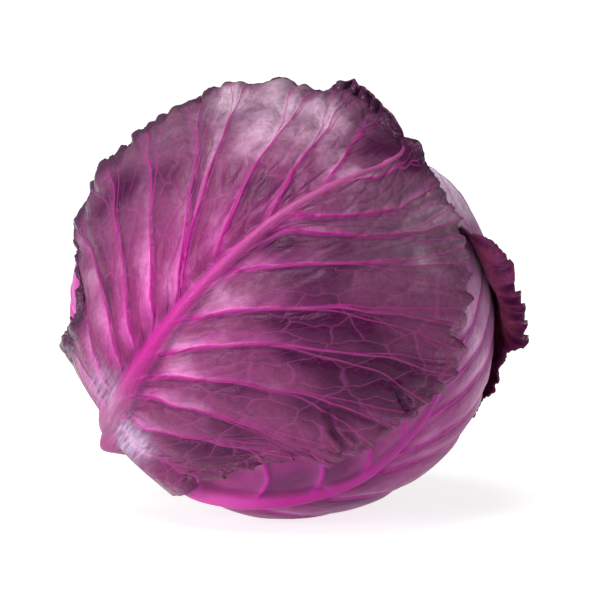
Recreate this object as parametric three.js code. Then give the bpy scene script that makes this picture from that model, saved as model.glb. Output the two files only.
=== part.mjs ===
// A head of red cabbage, cut at the stalk and lying on its side.
//
// The head is a ball of leaves. Four wrapper leaves grow from round the stalk and lie over one
// another on a tight heart. Every leaf is its own solid, and keeps a small gap to the leaf
// beneath. Units are millimetres, +Z is up, and the origin is on the surface that the head lies
// on, at the middle of its flat spot.
//
// Each leaf is drawn flat, in millimetres of arc round the middle of the leaf: u runs towards
// the tip and v across it. Its veins rule it: a row of the leaf starts on the midrib, and runs
// through a middle point to the margin, so that whole numbers of "row" are side veins. The flat
// leaf is then laid on the ball, at the height of what lies beneath it.
import * as THREE from 'three';

// ---- driving dimensions ----
const HEART_RADIUS = 79.2;         // the packed inner head
const CENTRE = [-3, -4, 82.6];     // the middle of the ball, over the flat spot
const BALL_RADIUS = 83;            // of the ball that flat leaves are laid on
const BLADE = 0.9;                 // thickness of a leaf between its veins
const GAP = 0.75;                  // clear space between a leaf and the one beneath
const RELIEF = 0.9;                // how far side veins stand off a blade
const LAYER = BLADE + RELIEF + GAP;
const TOOTH = 1.3;                 // how far every second tooth of a margin reaches out
const DRAPE = 10;                  // how far a leaf takes to step over the edge of another
const DRAPE_FROM = 5;              // how far past that edge the step begins
const RIB_CLEARANCE = 4;           // level ground on each side of a midrib that is lain on
const CROWN_ELEVATION = 48;        // degrees: where the top of the head points as it lies
const CROWN_AZIMUTH = -18;
const FRONT_ELEVATION = 8;         // degrees: where the middle of the front leaf faces, over -Y
const LEAF_MIDDLE = 108;           // degrees from the stalk to the middle of each leaf
const LEAF_BASE = -139;            // u where each blade meets the stalk
const CUT = 87;                    // from the middle of the ball to where leaf bases are cut off
const HEART_STEP = 1.1;            // how far the heart's surface steps over its own leaves
const PRESSED = 0.7;               // blade left between the heart and the surface it lies on
const STALK_CLEARANCE = 1.2;       // extra room between the crowded leaf bases
const STALK_CROWD = [15, 32];      // degrees from the stalk over which that room is lost again
const STALK_RADIUS = 14.4;
const STALK_END = 82.5;            // from the middle of the ball to the cut face
const STALK_GAP = 1.8;             // clear space between the heart's dip and the stalk

const rad = (degrees) => degrees * Math.PI / 180;
const mix = (a, b, f) => a + (b - a) * f;
const clamp = (x, low, high) => Math.min(high, Math.max(low, x));
const ease = (low, high, x) => {
  const f = clamp((x - low) / (high - low), 0, 1);
  return f * f * (3 - 2 * f);
};

// ---- the frame of the head: crown, front and side, at right angles ----
const centre = new THREE.Vector3(...CENTRE);
const crown = new THREE.Vector3(
  Math.cos(rad(CROWN_ELEVATION)) * Math.cos(rad(CROWN_AZIMUTH)),
  Math.cos(rad(CROWN_ELEVATION)) * Math.sin(rad(CROWN_AZIMUTH)),
  Math.sin(rad(CROWN_ELEVATION)),
);
const facing = new THREE.Vector3(0, -Math.cos(rad(FRONT_ELEVATION)), Math.sin(rad(FRONT_ELEVATION)));
const front = facing.clone().addScaledVector(crown, -facing.dot(crown)).normalize();
const side = new THREE.Vector3().crossVectors(crown, front);

// A leaf's own frame: its middle, the way to its tip, and the way across it.
function leafFrame(turn) {
  const out = new THREE.Vector3()
    .addScaledVector(front, Math.cos(rad(turn)))
    .addScaledVector(side, Math.sin(rad(turn)));
  const polar = rad(LEAF_MIDDLE);
  return {
    middle: crown.clone().multiplyScalar(-Math.cos(polar)).addScaledVector(out, Math.sin(polar)),
    tipward: crown.clone().multiplyScalar(Math.sin(polar)).addScaledVector(out, Math.cos(polar)),
    across: new THREE.Vector3()
      .addScaledVector(front, -Math.sin(rad(turn)))
      .addScaledVector(side, Math.cos(rad(turn))),
  };
}

// The packed head beneath all leaves: a ball, fuller low down, flatter on top and drawn in
// round the stalk.
const BULGES = [
  { towards: new THREE.Vector3(0.79, -0.1, -0.61).normalize(), amount: 5, power: 6 },
  { towards: new THREE.Vector3(-0.64, 0, -0.77).normalize(), amount: 1, power: 6 },
  { towards: new THREE.Vector3(-0.97, 0, -0.26).normalize(), amount: 2, power: 10 },
  { towards: new THREE.Vector3(-0.2, 0, -0.98).normalize(), amount: 3.2, power: 5 },
  { towards: new THREE.Vector3(0.5, 0, 0.87).normalize(), amount: -5.2, power: 3 },
  { towards: crown.clone().negate(), amount: -11.5, power: 12 },
];
const packedRadius = (direction) => BULGES.reduce(
  (radius, bulge) => radius + bulge.amount * Math.max(0, direction.dot(bulge.towards)) ** bulge.power,
  HEART_RADIUS,
);

// Flat leaf point to direction from the middle of the ball, and back: distance from the leaf's
// middle is kept as arc on a ball of BALL_RADIUS, and so is its bearing.
function directionAt(frame, u, v) {
  const distance = Math.hypot(u, v);
  const angle = distance / BALL_RADIUS;
  const stretch = distance > 1e-9 ? Math.sin(angle) / distance : 1 / BALL_RADIUS;
  return frame.middle.clone().multiplyScalar(Math.cos(angle))
    .addScaledVector(frame.tipward, u * stretch)
    .addScaledVector(frame.across, v * stretch);
}

function flatAt(frame, direction) {
  const angle = Math.acos(clamp(direction.dot(frame.middle), -1, 1));
  const a = direction.dot(frame.tipward);
  const b = direction.dot(frame.across);
  const stretch = angle * BALL_RADIUS / Math.max(Math.hypot(a, b), 1e-9);
  return [a * stretch, b * stretch];
}

// A smooth curve through points, one point at each whole number of "row".
function through(points, row) {
  const last = points.length - 1;
  const k = clamp(Math.floor(row), 0, last - 1);
  const f = row - k;
  const [p0, p1, p2, p3] = [points[Math.max(k - 1, 0)], points[k], points[k + 1],
    points[Math.min(k + 2, last)]];
  return p1.map((_, axis) => {
    const [a, b, c, d] = [p0[axis], p1[axis], p2[axis], p3[axis]];
    return b + 0.5 * f * (c - a + f * (2 * a - 5 * b + 4 * c - d + f * (3 * (b - c) + d - a)));
  });
}

// ---- the plans of the leaves ----
// A plan holds the midrib as points from stalk to tip, and for each half the side veins: where
// each leaves the midrib (u), the point it passes half-way, and its end on the margin. The
// first row is the base and the last is the tip.
const frontPlan = {
  midrib: [[-139, -16], [-118, -26], [-94, -26], [-60, -27.5], [-20, -28], [24, -23], [59, -12],
    [84, -5], [105, -10]],
  left: [
    [-139, [-139, -30], [-139, -44]],
    [-101, [-92, -50], [-103, -75]],
    [-90, [-75, -53], [-63, -72]],
    [-80, [-48, -67], [-44, -120]],
    [-66, [-31, -67], [-6, -125]],
    [-51, [-8, -68], [22, -121]],
    [-36, [12, -62], [54, -115]],
    [-32, [28, -64], [82, -98]],
    [-12, [42, -49], [102, -66]],
    [16, [58, -36], [113, -48]],
    [44, [76, -25], [115, -30]],
    [105, [105, -10], [105, -10]],
  ],
  right: [
    [-139, [-139, 2], [-137, 22]],
    [-112, [-98, 3], [-84, 28]],
    [-101, [-69, 11], [-46, 45]],
    [-84, [-53, 9], [-35, 62]],
    [-72, [-32, 13], [-10, 69]],
    [-57, [-8, 17], [22, 75]],
    [-37, [8, 12], [45, 64]],
    [-8, [25, 7], [68, 50]],
    [18, [43, 9], [80, 35]],
    [26, [52, 4], [90, 19]],
    [50, [72, -3], [98, 3]],
    [105, [105, -10], [105, -10]],
  ],
};

// The leaf behind comes over the crown from the far side, and its free margin turns outwards.
const flaredPlan = {
  midrib: [[-139, -6], [-112, -12], [-80, -13], [-40, -11], [0, -8], [45, -4], [90, -1], [126, 0]],
  left: [
    [-139, [-139, -17], [-139, -32]],
    [-118, [-116, -30], [-118, -56]],
    [-100, [-92, -42], [-88, -80]],
    [-80, [-66, -54], [-52, -99]],
    [-58, [-38, -58], [-14, -103]],
    [-34, [-8, -58], [22, -105]],
    [-8, [20, -54], [46, -101]],
    [18, [42, -52], [66, -101]],
    [42, [60, -50], [83, -92]],
    [66, [80, -46], [96, -84]],
    [90, [99, -30], [108, -60]],
    [126, [126, 0], [126, 0]],
  ],
  right: [
    [-139, [-139, 10], [-139, 28]],
    [-118, [-112, 20], [-112, 50]],
    [-100, [-88, 34], [-82, 74]],
    [-80, [-62, 42], [-50, 90]],
    [-58, [-34, 46], [-16, 98]],
    [-34, [-6, 47], [18, 99]],
    [-8, [20, 45], [46, 92]],
    [18, [42, 40], [68, 80]],
    [42, [63, 34], [86, 65]],
    [66, [83, 26], [101, 48]],
    [90, [102, 16], [115, 28]],
    [126, [126, 0], [126, 0]],
  ],
};

// A plain wrapper leaf: an egg-shaped blade. Its side veins leave the midrib closer together
// near the stalk, and bend towards the tip before they meet the margin.
function plainPlan({ veins, midrib, widthLeft, widthRight }) {
  const tip = midrib.at(-1)[0];
  const length = tip - LEAF_BASE;
  const half = (width, sign) => {
    const rows = [[LEAF_BASE, [LEAF_BASE, sign * 16], [LEAF_BASE, sign * 32]]];
    for (let k = 1; k <= veins; k += 1) {
      const f = k / (veins + 1);
      const start = LEAF_BASE + length * (0.08 + 0.82 * f);
      const sweep = Math.PI * mix(0.16, 1, f);
      const end = [mix(LEAF_BASE + 6, tip, 0.5 - 0.5 * Math.cos(sweep)),
        sign * width * Math.sin(sweep) ** 0.85];
      rows.push([start, [mix(start, end[0], 0.5) - 5, end[1] * 0.53], end]);
    }
    rows.push([tip, midrib.at(-1), midrib.at(-1)]);
    return rows;
  };
  return { midrib, left: half(widthLeft, -1), right: half(widthRight, 1) };
}

// The leaf under the front one wraps the low right side, its thick midrib below.
const underPlan = {
  midrib: [[-139, -24], [-120, -40], [-101, -35], [-84, -25], [-67, -16], [-46, -6], [-25, -3],
    [0, 0], [41, 0], [96, 0]],
  left: [
    [-139, [-139, -36], [-139, -50]],
    [-122, [-114, -54], [-104, -72]],
    [-104, [-86, -56], [-72, -84]],
    [-84, [-58, -46], [-38, -88]],
    [-62, [-32, -42], [-6, -88]],
    [-42, [-8, -38], [24, -84]],
    [-22, [14, -34], [50, -74]],
    [0, [34, -28], [70, -58]],
    [22, [54, -20], [84, -40]],
    [50, [72, -12], [92, -20]],
    [96, [96, 0], [96, 0]],
  ],
  right: [
    [-139, [-139, -8], [-139, 10]],
    [-120, [-110, -6], [-112, 38]],
    [-92, [-78, 12], [-72, 62]],
    [-66, [-50, 24], [-34, 84]],
    [-45, [-22, 26], [2, 94]],
    [-30, [-2, 34], [30, 94]],
    [-10, [20, 36], [54, 84]],
    [4, [34, 32], [70, 66]],
    [18, [48, 24], [82, 46]],
    [50, [68, 12], [91, 24]],
    [96, [96, 0], [96, 0]],
  ],
};

// Innermost first. "turn" is degrees round the stalk from the front leaf, and "columns" cuts each
// half of a blade. "rib" is the height of the midrib in mm and "ribWidth" scales its width. It has
// the share "clasp" of its height at its base, and all of it from the share "claspedTo" of its
// length on. The ruffle of each margin is given as [row, mm that it stands off]. A flare turns a
// strip of a margin outwards: [row, width of the strip in mm, radius of its bend in mm].
const LEAVES = [
  {
    name: 'left_wrapper_leaf', turn: -88, color: 0xc65aa8, rib: 4.2, ribWidth: 1, columns: 7,
    rowsPerVein: 3, clasp: 0.2, claspedTo: 0.09,
    plan: plainPlan({
      veins: 8, widthLeft: 96, widthRight: 84,
      midrib: [[-139, -4], [-115, -9], [-80, -12], [-40, -11], [0, -8], [50, -3], [96, 0]],
    }),
    ruffleLeft: [[0, 2]], ruffleRight: [[0, 2]], flares: [],
  },
  {
    name: 'under_wrapper_leaf', turn: 60, color: 0xa8609a, rib: 5.2, ribWidth: 1.4, columns: 8,
    rowsPerVein: 3, clasp: 0.2, claspedTo: 0.22,
    plan: underPlan,
    ruffleLeft: [[0, 2]], ruffleRight: [[0, 2]], flares: [],
  },
  {
    name: 'flared_wrapper_leaf', turn: 180, color: 0xb48aa8, rib: 4.6, ribWidth: 1, columns: 9,
    rowsPerVein: 4, clasp: 0.2, claspedTo: 0.09,
    plan: flaredPlan,
    ruffleLeft: [[0, 2], [5, 1], [9, 1]], ruffleRight: [[0, 2.4], [4, 1.6], [11, 1]],
    flares: [{
      side: -1,
      strip: [[5.5, 0, 10], [5.75, 6, 10], [6.35, 6, 10], [6.65, 15, 10], [7.2, 15, 9], [8, 14, 8],
        [9, 15, 7], [9.5, 15, 7], [10, 12, 7], [10.4, 0, 7]],
    }],
  },
  {
    name: 'front_wrapper_leaf', turn: 0, color: 0x7e4468, rib: 5, ribWidth: 1.15, columns: 12,
    rowsPerVein: 5, clasp: 0.6, claspedTo: 0.09,
    plan: frontPlan,
    ruffleLeft: [[0, 2], [0.8, 3], [1, 5], [1.3, 0.5], [1.8, 2], [2.3, 1], [2.7, 0], [3, 3.6],
      [3.3, 0.4], [3.8, 4], [4.4, 1], [4.7, 2], [5, 0], [5.6, 2.4], [6.2, 0.2], [6.7, 2.4],
      [7.1, 0], [7.5, 2.6], [8, 0], [8.6, 4], [9.4, 3], [10.4, 0]],
    ruffleRight: [[0, 0], [2, 1], [2.4, 0.3], [2.8, 2.4], [3.3, 0.4], [3.8, 2], [4.4, 0.6],
      [5, 1.6], [5.6, 0.5], [6.4, 1], [11, 0.4]],
    flares: [
      {
        side: -1,
        strip: [[8, 0, 3.2], [8.4, 5, 3.2], [9, 7, 3.2], [9.7, 9, 3.2], [10.4, 9, 3.2],
          [10.8, 6, 3.2], [11, 4, 3.2]],
      },
      { side: 1, strip: [[9, 0, 3.2], [9.8, 3, 3.2], [10.5, 6, 3.2], [11, 4, 3.2]] },
    ],
  },
];

for (const leaf of LEAVES) {
  leaf.frame = leafFrame(leaf.turn);
  leaf.rows = leaf.plan.left.length - 1;
  const margin = (half) => Array.from({ length: leaf.rows * 4 + 1 },
    (_, k) => through(half.map((row) => row[2]), k / 4));
  leaf.outline = [...margin(leaf.plan.right), ...margin(leaf.plan.left).reverse()];
  leaf.outline.push(leaf.outline[0]);
  leaf.spine = Array.from({ length: 41 },
    (_, k) => through(leaf.plan.midrib, k / 40 * (leaf.plan.midrib.length - 1)));
}

// Distance from a flat point to a line of points, and how far along the nearest spot is.
function nearestOn(line, u, v) {
  let best = Infinity;
  let along = 0;
  for (let k = 0; k + 1 < line.length; k += 1) {
    const [ax, ay] = line[k];
    const dx = line[k + 1][0] - ax;
    const dy = line[k + 1][1] - ay;
    const f = clamp(((u - ax) * dx + (v - ay) * dy) / Math.max(dx * dx + dy * dy, 1e-9), 0, 1);
    const distance = Math.hypot(u - ax - f * dx, v - ay - f * dy);
    if (distance < best) {
      best = distance;
      along = (k + f) / (line.length - 1);
    }
  }
  return { distance: best, along };
}

function isInside(outline, u, v) {
  let inside = false;
  for (let k = 1; k < outline.length; k += 1) {
    const [ax, ay] = outline[k];
    const [bx, by] = outline[k - 1];
    if ((ay > v) !== (by > v) && u < ax + (bx - ax) * (v - ay) / (by - ay)) {
      inside = !inside;
    }
  }
  return inside;
}

// How far a direction is outside a leaf's margin, in mm, negative inside it.
function outsideOf(leaf, direction) {
  const [u, v] = flatAt(leaf.frame, direction);
  const { distance } = nearestOn(leaf.outline, u, v);
  return isInside(leaf.outline, u, v) ? -distance : distance;
}

// The midrib: a round ridge that thins to the tip, and is low and broad where it clasps the stalk.
const RIB_WIDEST = 7.2;            // half its width at the base
const RIB_NARROWEST = 0.7;         // and at the tip
const RIB_FOOT = 3;                // what clasping the stalk adds to that half
const RIB_FOOT_TO = 0.11;          // the share of its length over which that is lost
function ribHeight(leaf, along) {
  const free = leaf.rib * (1 - along) ** 1.25 + 0.5 * (1 - along);
  return free * mix(leaf.clasp, 1, ease(0, leaf.claspedTo, along));
}

function ribHalfWidth(leaf, along) {
  const free = RIB_WIDEST * (1 - along) ** 1.6 + RIB_NARROWEST;
  return leaf.ribWidth * free + RIB_FOOT * (1 - ease(0, RIB_FOOT_TO, along));
}

// A flat leaf is laid on a ball, so what runs across it far from its middle is drawn in.
const drawnIn = (u, v) => {
  const angle = Math.max(Math.hypot(u, v), 1e-6) / BALL_RADIUS;
  return Math.sin(angle) / angle;
};

// What a leaf adds to the height of those that lie on it: its blade, and its midrib on top.
function coverOf(leaf, direction) {
  const [u, v] = flatAt(leaf.frame, direction);
  const blanket = 1 - ease(DRAPE_FROM, DRAPE_FROM + DRAPE, outsideOf(leaf, direction));
  const fromStalk = Math.acos(clamp(-direction.dot(crown), -1, 1));
  const crowded = 1 - ease(...STALK_CROWD.map(rad), fromStalk);
  const spine = nearestOn(leaf.spine, u, v);
  const reach = ribHalfWidth(leaf, spine.along) + RIB_CLEARANCE;
  const overRib = 1 - ease(reach, reach + DRAPE, spine.distance * drawnIn(u, v));
  return blanket * (LAYER + STALK_CLEARANCE * crowded + ribHeight(leaf, spine.along) * overRib);
}

// The heart: a ball whose surface steps over the margins of three packed leaves.
const HEART_TURNS = [-30, 107, 245];
const heartLeaves = HEART_TURNS.map((turn) => (
  { frame: leafFrame(turn), outline: LEAVES[0].outline }));
function heartRadius(direction) {
  return heartLeaves.reduce(
    (sum, leaf) => sum - HEART_STEP * ease(-18, -6, outsideOf(leaf, direction)),
    packedRadius(direction),
  );
}

// The height at which a leaf lies: on the packed head and every leaf further in.
function beneath(index, direction) {
  return LEAVES.slice(0, index).reduce(
    (sum, leaf) => sum + coverOf(leaf, direction),
    packedRadius(direction) + GAP,
  );
}

// 1 where nothing lies on the leaf, 0 under another leaf and up to "near" mm from its edge.
function freedom(index, direction, near = 2, far = 12) {
  return LEAVES.slice(index + 1).reduce(
    (free, leaf) => Math.min(free, ease(near, far, outsideOf(leaf, direction))),
    1,
  );
}

// A value from a list whose entries start with x, in straight steps.
function valueAt(list, x, column = 1) {
  const next = list.findIndex(([at]) => at > x);
  if (next === 0 || list.length === 1) return list[0][column];
  if (next < 0) return list.at(-1)[column];
  const [before, after] = [list[next - 1], list[next]];
  return mix(before[column], after[column], (x - before[0]) / (after[0] - before[0]));
}

// A point of the flat leaf: a quadratic arc from the midrib through the vein's middle point.
function flatPoint(plan, row, t) {
  const half = t < 0 ? plan.left : plan.right;
  const startOf = (rows) => through(rows.map(([start]) => [start]), row)[0];
  const shared = (startOf(plan.left) + startOf(plan.right)) / 2;
  const reach = Math.abs(t);
  const startU = mix(shared, startOf(half), ease(0, 0.12, reach));
  const uAlong = plan.midrib.map(([u]) => u);
  let k = uAlong.findIndex((u) => u > startU) - 1;
  k = k < 0 ? uAlong.length - 2 : k;
  let low = k;
  let high = k + 1;
  for (let step = 0; step < 24; step += 1) {
    const tryRow = (low + high) / 2;
    if (through(plan.midrib, tryRow)[0] < startU) low = tryRow;
    else high = tryRow;
  }
  const start = through(plan.midrib, low);
  const middle = through(half.map((entry) => entry[1]), row);
  const end = through(half.map((entry) => entry[2]), row);
  return start.map((from, axis) => {
    const bend = 2 * middle[axis] - (from + end[axis]) / 2;
    return (1 - reach) ** 2 * from + 2 * reach * (1 - reach) * bend + reach ** 2 * end[axis];
  });
}

// ---- a leaf as a closed solid ----
// Keeps a point off the surface that the head lies on, and inside the cut at the stalk.
function trim(point, margin) {
  const past = point.clone().sub(centre).dot(crown) + CUT - margin;
  if (past < 0) point.addScaledVector(crown, -past);
  point.z = Math.max(point.z, margin);
}

function leafMesh(leaf, index) {
  const rowCount = leaf.rows * leaf.rowsPerVein;
  const half = leaf.columns;
  const width = 2 * half + 1;
  // columns lie closer together towards the margins, where the blade bends most
  const spread = (f) => (
    Math.sign(f) * mix(Math.abs(f), Math.sin(Math.PI / 2 * Math.abs(f)) ** 1.2, 0.65));
  const inner = [];
  const lift = [];
  for (let i = 0; i < rowCount; i += 1) {
    for (let j = 0; j < width; j += 1) {
      const row = i / leaf.rowsPerVein;
      const t = spread((j - half) / half);
      const point = surfacePoint(leaf, index, row, t);
      inner.push(point.position);
      lift.push(point.lift);
    }
  }
  const tip = surfacePoint(leaf, index, leaf.rows, 0);
  inner.push(tip.position);
  lift.push(tip.lift);
  const tipIndex = inner.length - 1;
  const at = (i, j) => (i < rowCount ? i * width + j : tipIndex);

  const faces = [];
  for (let i = 0; i < rowCount; i += 1) {
    for (let j = 0; j + 1 < width; j += 1) {
      faces.push([at(i, j), at(i, j + 1), at(i + 1, j + 1)]);
      if (i + 1 < rowCount) faces.push([at(i, j), at(i + 1, j + 1), at(i + 1, j)]);
    }
  }
  // the outer face: the inner one, moved out along its normals by the blade and its ribs
  const normals = inner.map(() => new THREE.Vector3());
  for (const [a, b, c] of faces) {
    const normal = new THREE.Vector3().crossVectors(
      inner[b].clone().sub(inner[a]), inner[c].clone().sub(inner[a]));
    for (const corner of [a, b, c]) normals[corner].add(normal);
  }
  const outer = inner.map((point, k) => {
    const outwards = point.clone().sub(centre).normalize();
    return point.clone().addScaledVector(normals[k].normalize(), lift[k].blade)
      .addScaledVector(outwards, lift[k].rib);
  });
  for (const point of outer) trim(point, 0);
  for (const point of inner) trim(point, PRESSED);

  // the rim: base, left margin, tip, right margin, in one closed loop
  const rim = [];
  for (let j = 0; j < width; j += 1) rim.push(at(0, j));
  for (let i = 1; i < rowCount; i += 1) rim.push(at(i, width - 1));
  rim.push(tipIndex);
  for (let i = rowCount - 1; i > 0; i -= 1) rim.push(at(i, 0));

  const count = inner.length;
  const indices = [];
  for (const [a, b, c] of faces) indices.push(a, b, c, count + a, count + c, count + b);
  rim.forEach((a, k) => {
    const b = rim[(k + 1) % rim.length];
    indices.push(count + a, b, a, count + a, count + b, b);
  });
  const geometry = new THREE.BufferGeometry();
  geometry.setAttribute('position', new THREE.Float32BufferAttribute(
    [...outer, ...inner].flatMap((point) => point.toArray()), 3));
  geometry.setIndex(indices);
  geometry.computeVertexNormals();
  const mesh = new THREE.Mesh(geometry,
    new THREE.MeshStandardMaterial({ color: leaf.color, roughness: 0.45, metalness: 0 }));
  mesh.name = leaf.name;
  return mesh;
}

// The inner face of a leaf at a row and a share t of the way from midrib to margin, and how
// thick the leaf is there.
function surfacePoint(leaf, index, row, t) {
  const reach = Math.abs(t);
  const flat = flatPoint(leaf.plan, row, t);
  const root = flatPoint(leaf.plan, row, Math.sign(t || 1) * 0.6);
  let [u, v] = flat;
  let rise = 0;
  const ends = ease(0.4, 1.6, row) * ease(0, 1.6, leaf.rows - row);
  let direction = directionAt(leaf.frame, u, v);
  const free = freedom(index, direction);

  // teeth and ruffles grow towards the margin, where nothing holds it down
  const edge = ease(0.72, 1, reach);
  const wave = Math.cos(Math.PI * row * leaf.rowsPerVein);
  const outwards = Math.hypot(u - root[0], v - root[1]) || 1;
  const tooth = reach > 0.9 ? TOOTH * edge * ends * free * wave : 0;
  u += (u - root[0]) / outwards * tooth;
  v += (v - root[1]) / outwards * tooth;
  const ruffle = valueAt(t < 0 ? leaf.ruffleLeft : leaf.ruffleRight, row);
  rise += ruffle * edge * ends * free;

  // a flare: the outer strip of the blade bends away from the ball along an arc
  const open = freedom(index, direction, 0.5, 4);
  for (const { side: flareSide, strip } of leaf.flares) {
    const end = flatPoint(leaf.plan, row, flareSide);
    const beyond = valueAt(strip, row) * open - Math.hypot(flat[0] - end[0], flat[1] - end[1]);
    if (Math.sign(t) === flareSide && beyond > 0) {
      const radius = valueAt(strip, row, 2);
      const turned = beyond / radius;
      const lost = beyond - radius * Math.sin(turned);
      const length = Math.hypot(end[0] - root[0], end[1] - root[1]);
      u -= (end[0] - root[0]) / length * lost;
      v -= (end[1] - root[1]) / length * lost;
      rise += radius * (1 - Math.cos(turned));
    }
  }
  direction = directionAt(leaf.frame, u, v);
  const height = beneath(index, direction) + rise;

  // the blade, its midrib and its side veins, which fade before they reach the margin
  const spine = nearestOn(leaf.spine, flat[0], flat[1]);
  const fromRib = spine.distance * drawnIn(flat[0], flat[1]) / ribHalfWidth(leaf, spine.along);
  const ribbed = Math.cos(Math.PI / 2 * clamp(fromRib, 0, 1)) ** 2;
  const onVein = (0.5 + 0.5 * Math.cos(2 * Math.PI * row)) ** 2;
  const veined = onVein * ease(0, 0.15, reach) * (1 - ease(0.75, 1, reach)) * ends;
  return {
    position: centre.clone().addScaledVector(direction, height),
    lift: {
      blade: BLADE + RELIEF * veined * (1 - ribbed),
      rib: ribHeight(leaf, spine.along) * ribbed,
    },
  };
}

// ---- heart and stalk ----
function heartMesh() {
  const geometry = new THREE.IcosahedronGeometry(1, 7);
  geometry.deleteAttribute('normal');
  geometry.deleteAttribute('uv');
  const position = geometry.getAttribute('position');
  const point = new THREE.Vector3();
  for (let k = 0; k < position.count; k += 1) {
    point.fromBufferAttribute(position, k).normalize();
    point.multiplyScalar(heartRadius(point)).add(centre);
    point.z = Math.max(point.z, 2 * PRESSED);
    position.setXYZ(k, point.x, point.y, point.z);
  }
  geometry.computeVertexNormals();
  const mesh = new THREE.Mesh(geometry,
    new THREE.MeshStandardMaterial({ color: 0xb06a9c, roughness: 0.45, metalness: 0 }));
  mesh.name = 'heart';
  return mesh;
}

function stalkMesh() {
  const start = heartRadius(crown.clone().negate()) + STALK_GAP;
  const profile = [
    [0, start],
    [STALK_RADIUS * 0.8, start],
    [STALK_RADIUS, start + 3],
    [STALK_RADIUS * 0.96, STALK_END - 1],
    [STALK_RADIUS * 0.9, STALK_END],
    [0, STALK_END],
  ].map(([radius, along]) => new THREE.Vector2(radius, along));
  const geometry = new THREE.LatheGeometry(profile, 24);
  const mesh = new THREE.Mesh(geometry,
    new THREE.MeshStandardMaterial({ color: 0xe6d9c4, roughness: 0.7, metalness: 0 }));
  mesh.name = 'cut_stalk';
  mesh.position.copy(centre);
  mesh.quaternion.setFromUnitVectors(new THREE.Vector3(0, 1, 0), crown.clone().negate());
  return mesh;
}

const head = new THREE.Group();
LEAVES.forEach((leaf, index) => head.add(leafMesh(leaf, index)));
head.add(heartMesh());
head.add(stalkMesh());

export default head;
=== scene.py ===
"""A head of red cabbage, cut at the stalk and lying on its side on a plain pale floor.

The head is a ball of leaves. Four wrapper leaves lie over one another round a tight heart. Each
is drawn flat first, in millimetres of arc round its own middle: u runs towards the tip and v
across. Its veins rule it: a "row" starts on the midrib, runs through a middle point and ends on
the margin, so whole numbers of "row" are side veins, and t is the share of the way out from the
midrib, negative on the left half. The flat leaf is then laid on the ball, at the height of what
lies beneath it. Lengths here are millimetres; meshes are turned into metres when they are made.
"""
from dataclasses import dataclass
from functools import partial

import bpy
import numpy as np
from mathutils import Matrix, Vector


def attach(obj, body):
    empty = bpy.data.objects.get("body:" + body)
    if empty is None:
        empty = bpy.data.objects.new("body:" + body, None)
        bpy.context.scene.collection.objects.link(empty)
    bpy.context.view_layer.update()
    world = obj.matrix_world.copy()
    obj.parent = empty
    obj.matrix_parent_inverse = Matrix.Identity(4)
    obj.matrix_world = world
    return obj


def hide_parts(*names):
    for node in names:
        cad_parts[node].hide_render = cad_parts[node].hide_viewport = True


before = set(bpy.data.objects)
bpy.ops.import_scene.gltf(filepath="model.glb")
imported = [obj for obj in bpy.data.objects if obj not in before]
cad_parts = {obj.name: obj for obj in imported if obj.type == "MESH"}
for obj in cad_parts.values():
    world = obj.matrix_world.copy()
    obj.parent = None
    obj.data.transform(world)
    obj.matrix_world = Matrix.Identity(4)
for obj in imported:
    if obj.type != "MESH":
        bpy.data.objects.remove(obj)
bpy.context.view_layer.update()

# ---- driving dimensions of the head, the same as the frame's ----
HEART_RADIUS = 79.2
BULGES = [                          # towards, how many mm fuller there, and how narrow
    ((0.79, -0.1, -0.61), 5.0, 6),
    ((-0.64, 0, -0.77), 1.0, 6),
    ((-0.97, 0, -0.26), 2.0, 10),
    ((-0.2, 0, -0.98), 3.2, 5),
    ((0.5, 0, 0.87), -5.2, 3),
]
DRAWN_IN_AT_STALK = 11.5            # how far the ball is dimpled where the stalk leaves it
CENTRE = np.array([-3.0, -4.0, 82.6])
BALL_RADIUS = 83                    # the ball on which a flat leaf keeps its lengths
BLADE = 0.9                         # thickness of a leaf between its veins
RELIEF = 0.9                        # how far its panels and side veins stand out
GAP = 0.75                          # air between a leaf and what it lies on
LAYER = BLADE + RELIEF + GAP
CROWN_ELEVATION = 48                # degrees: the way from the stalk to the crown
CROWN_AZIMUTH = -18
FRONT_ELEVATION = 8                 # degrees: the way that the front leaf faces
LEAF_BASE = -139                    # u at the stalk's end of every leaf
LEAF_MIDDLE = 108                   # degrees from the stalk to a leaf's own middle
STALK_RADIUS = 14.4
STALK_CLEARANCE = 1.2               # extra air between the leaf bases that clasp the stalk
CLASP_ENDS = np.radians([15, 32])   # the angles from the stalk over which that air fades
CUT = 87                            # from the centre down to the cut through the leaf bases
PRESSED = 0.7                       # how far inner faces stay off the floor and the cut
HELD_OFF = 5                        # a leaf holds the next one off this far past its margin,
RIB_HELD_OFF = 4                    # its midrib this far past its foot,
DRAPE = 10                          # and over this far again the next one comes down
TOOTH = 1.3                         # height of the frame's own teeth

# ---- what only the fine leaves have, in mm or shares of the way out ----
POINT_HEIGHT, POINT_PITCH = 2.2, 7.5        # teeth of random size along the margin,
NICK_HEIGHT, NICK_PITCH = 1.2, 2.8          # and nicks between them
CRIMP_HEIGHT, CRIMP_PITCH = 1.3, 4.2        # short waves at the margin,
CURL_HEIGHT, CURL_PITCH = 0.5, 9            # and longer ones behind them
PUCKER_HEIGHT, PUCKER_SIZE = 0.5, 5.5       # small swellings of the outer blade,
DENT_HEIGHT, DENT_SIZE = 0.3, 24            # and broad ones all over it
CREASE_DEPTH = 0.4
TORN_BLADE, LIP_HEIGHT = 0.2, 1.1           # thickness left in a tear, and the lips beside it
FORKS_FROM = 0.3                            # the share from which forks count
OWN_LINE_TO = 0.16                          # the share up to which a vein keeps its own line
NO_VEIN = 30                                # stands for far from any vein
ROW_ON_MAP, VEIN_ON_MAP = 20, 95            # sides of a row and of a vein on the ruled map
INNER_COLUMNS = 16                          # columns in each half of an inner face
RANDOM_STEPS, RANDOM_CELLS = 997, 128       # after which a random line or field repeats

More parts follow.
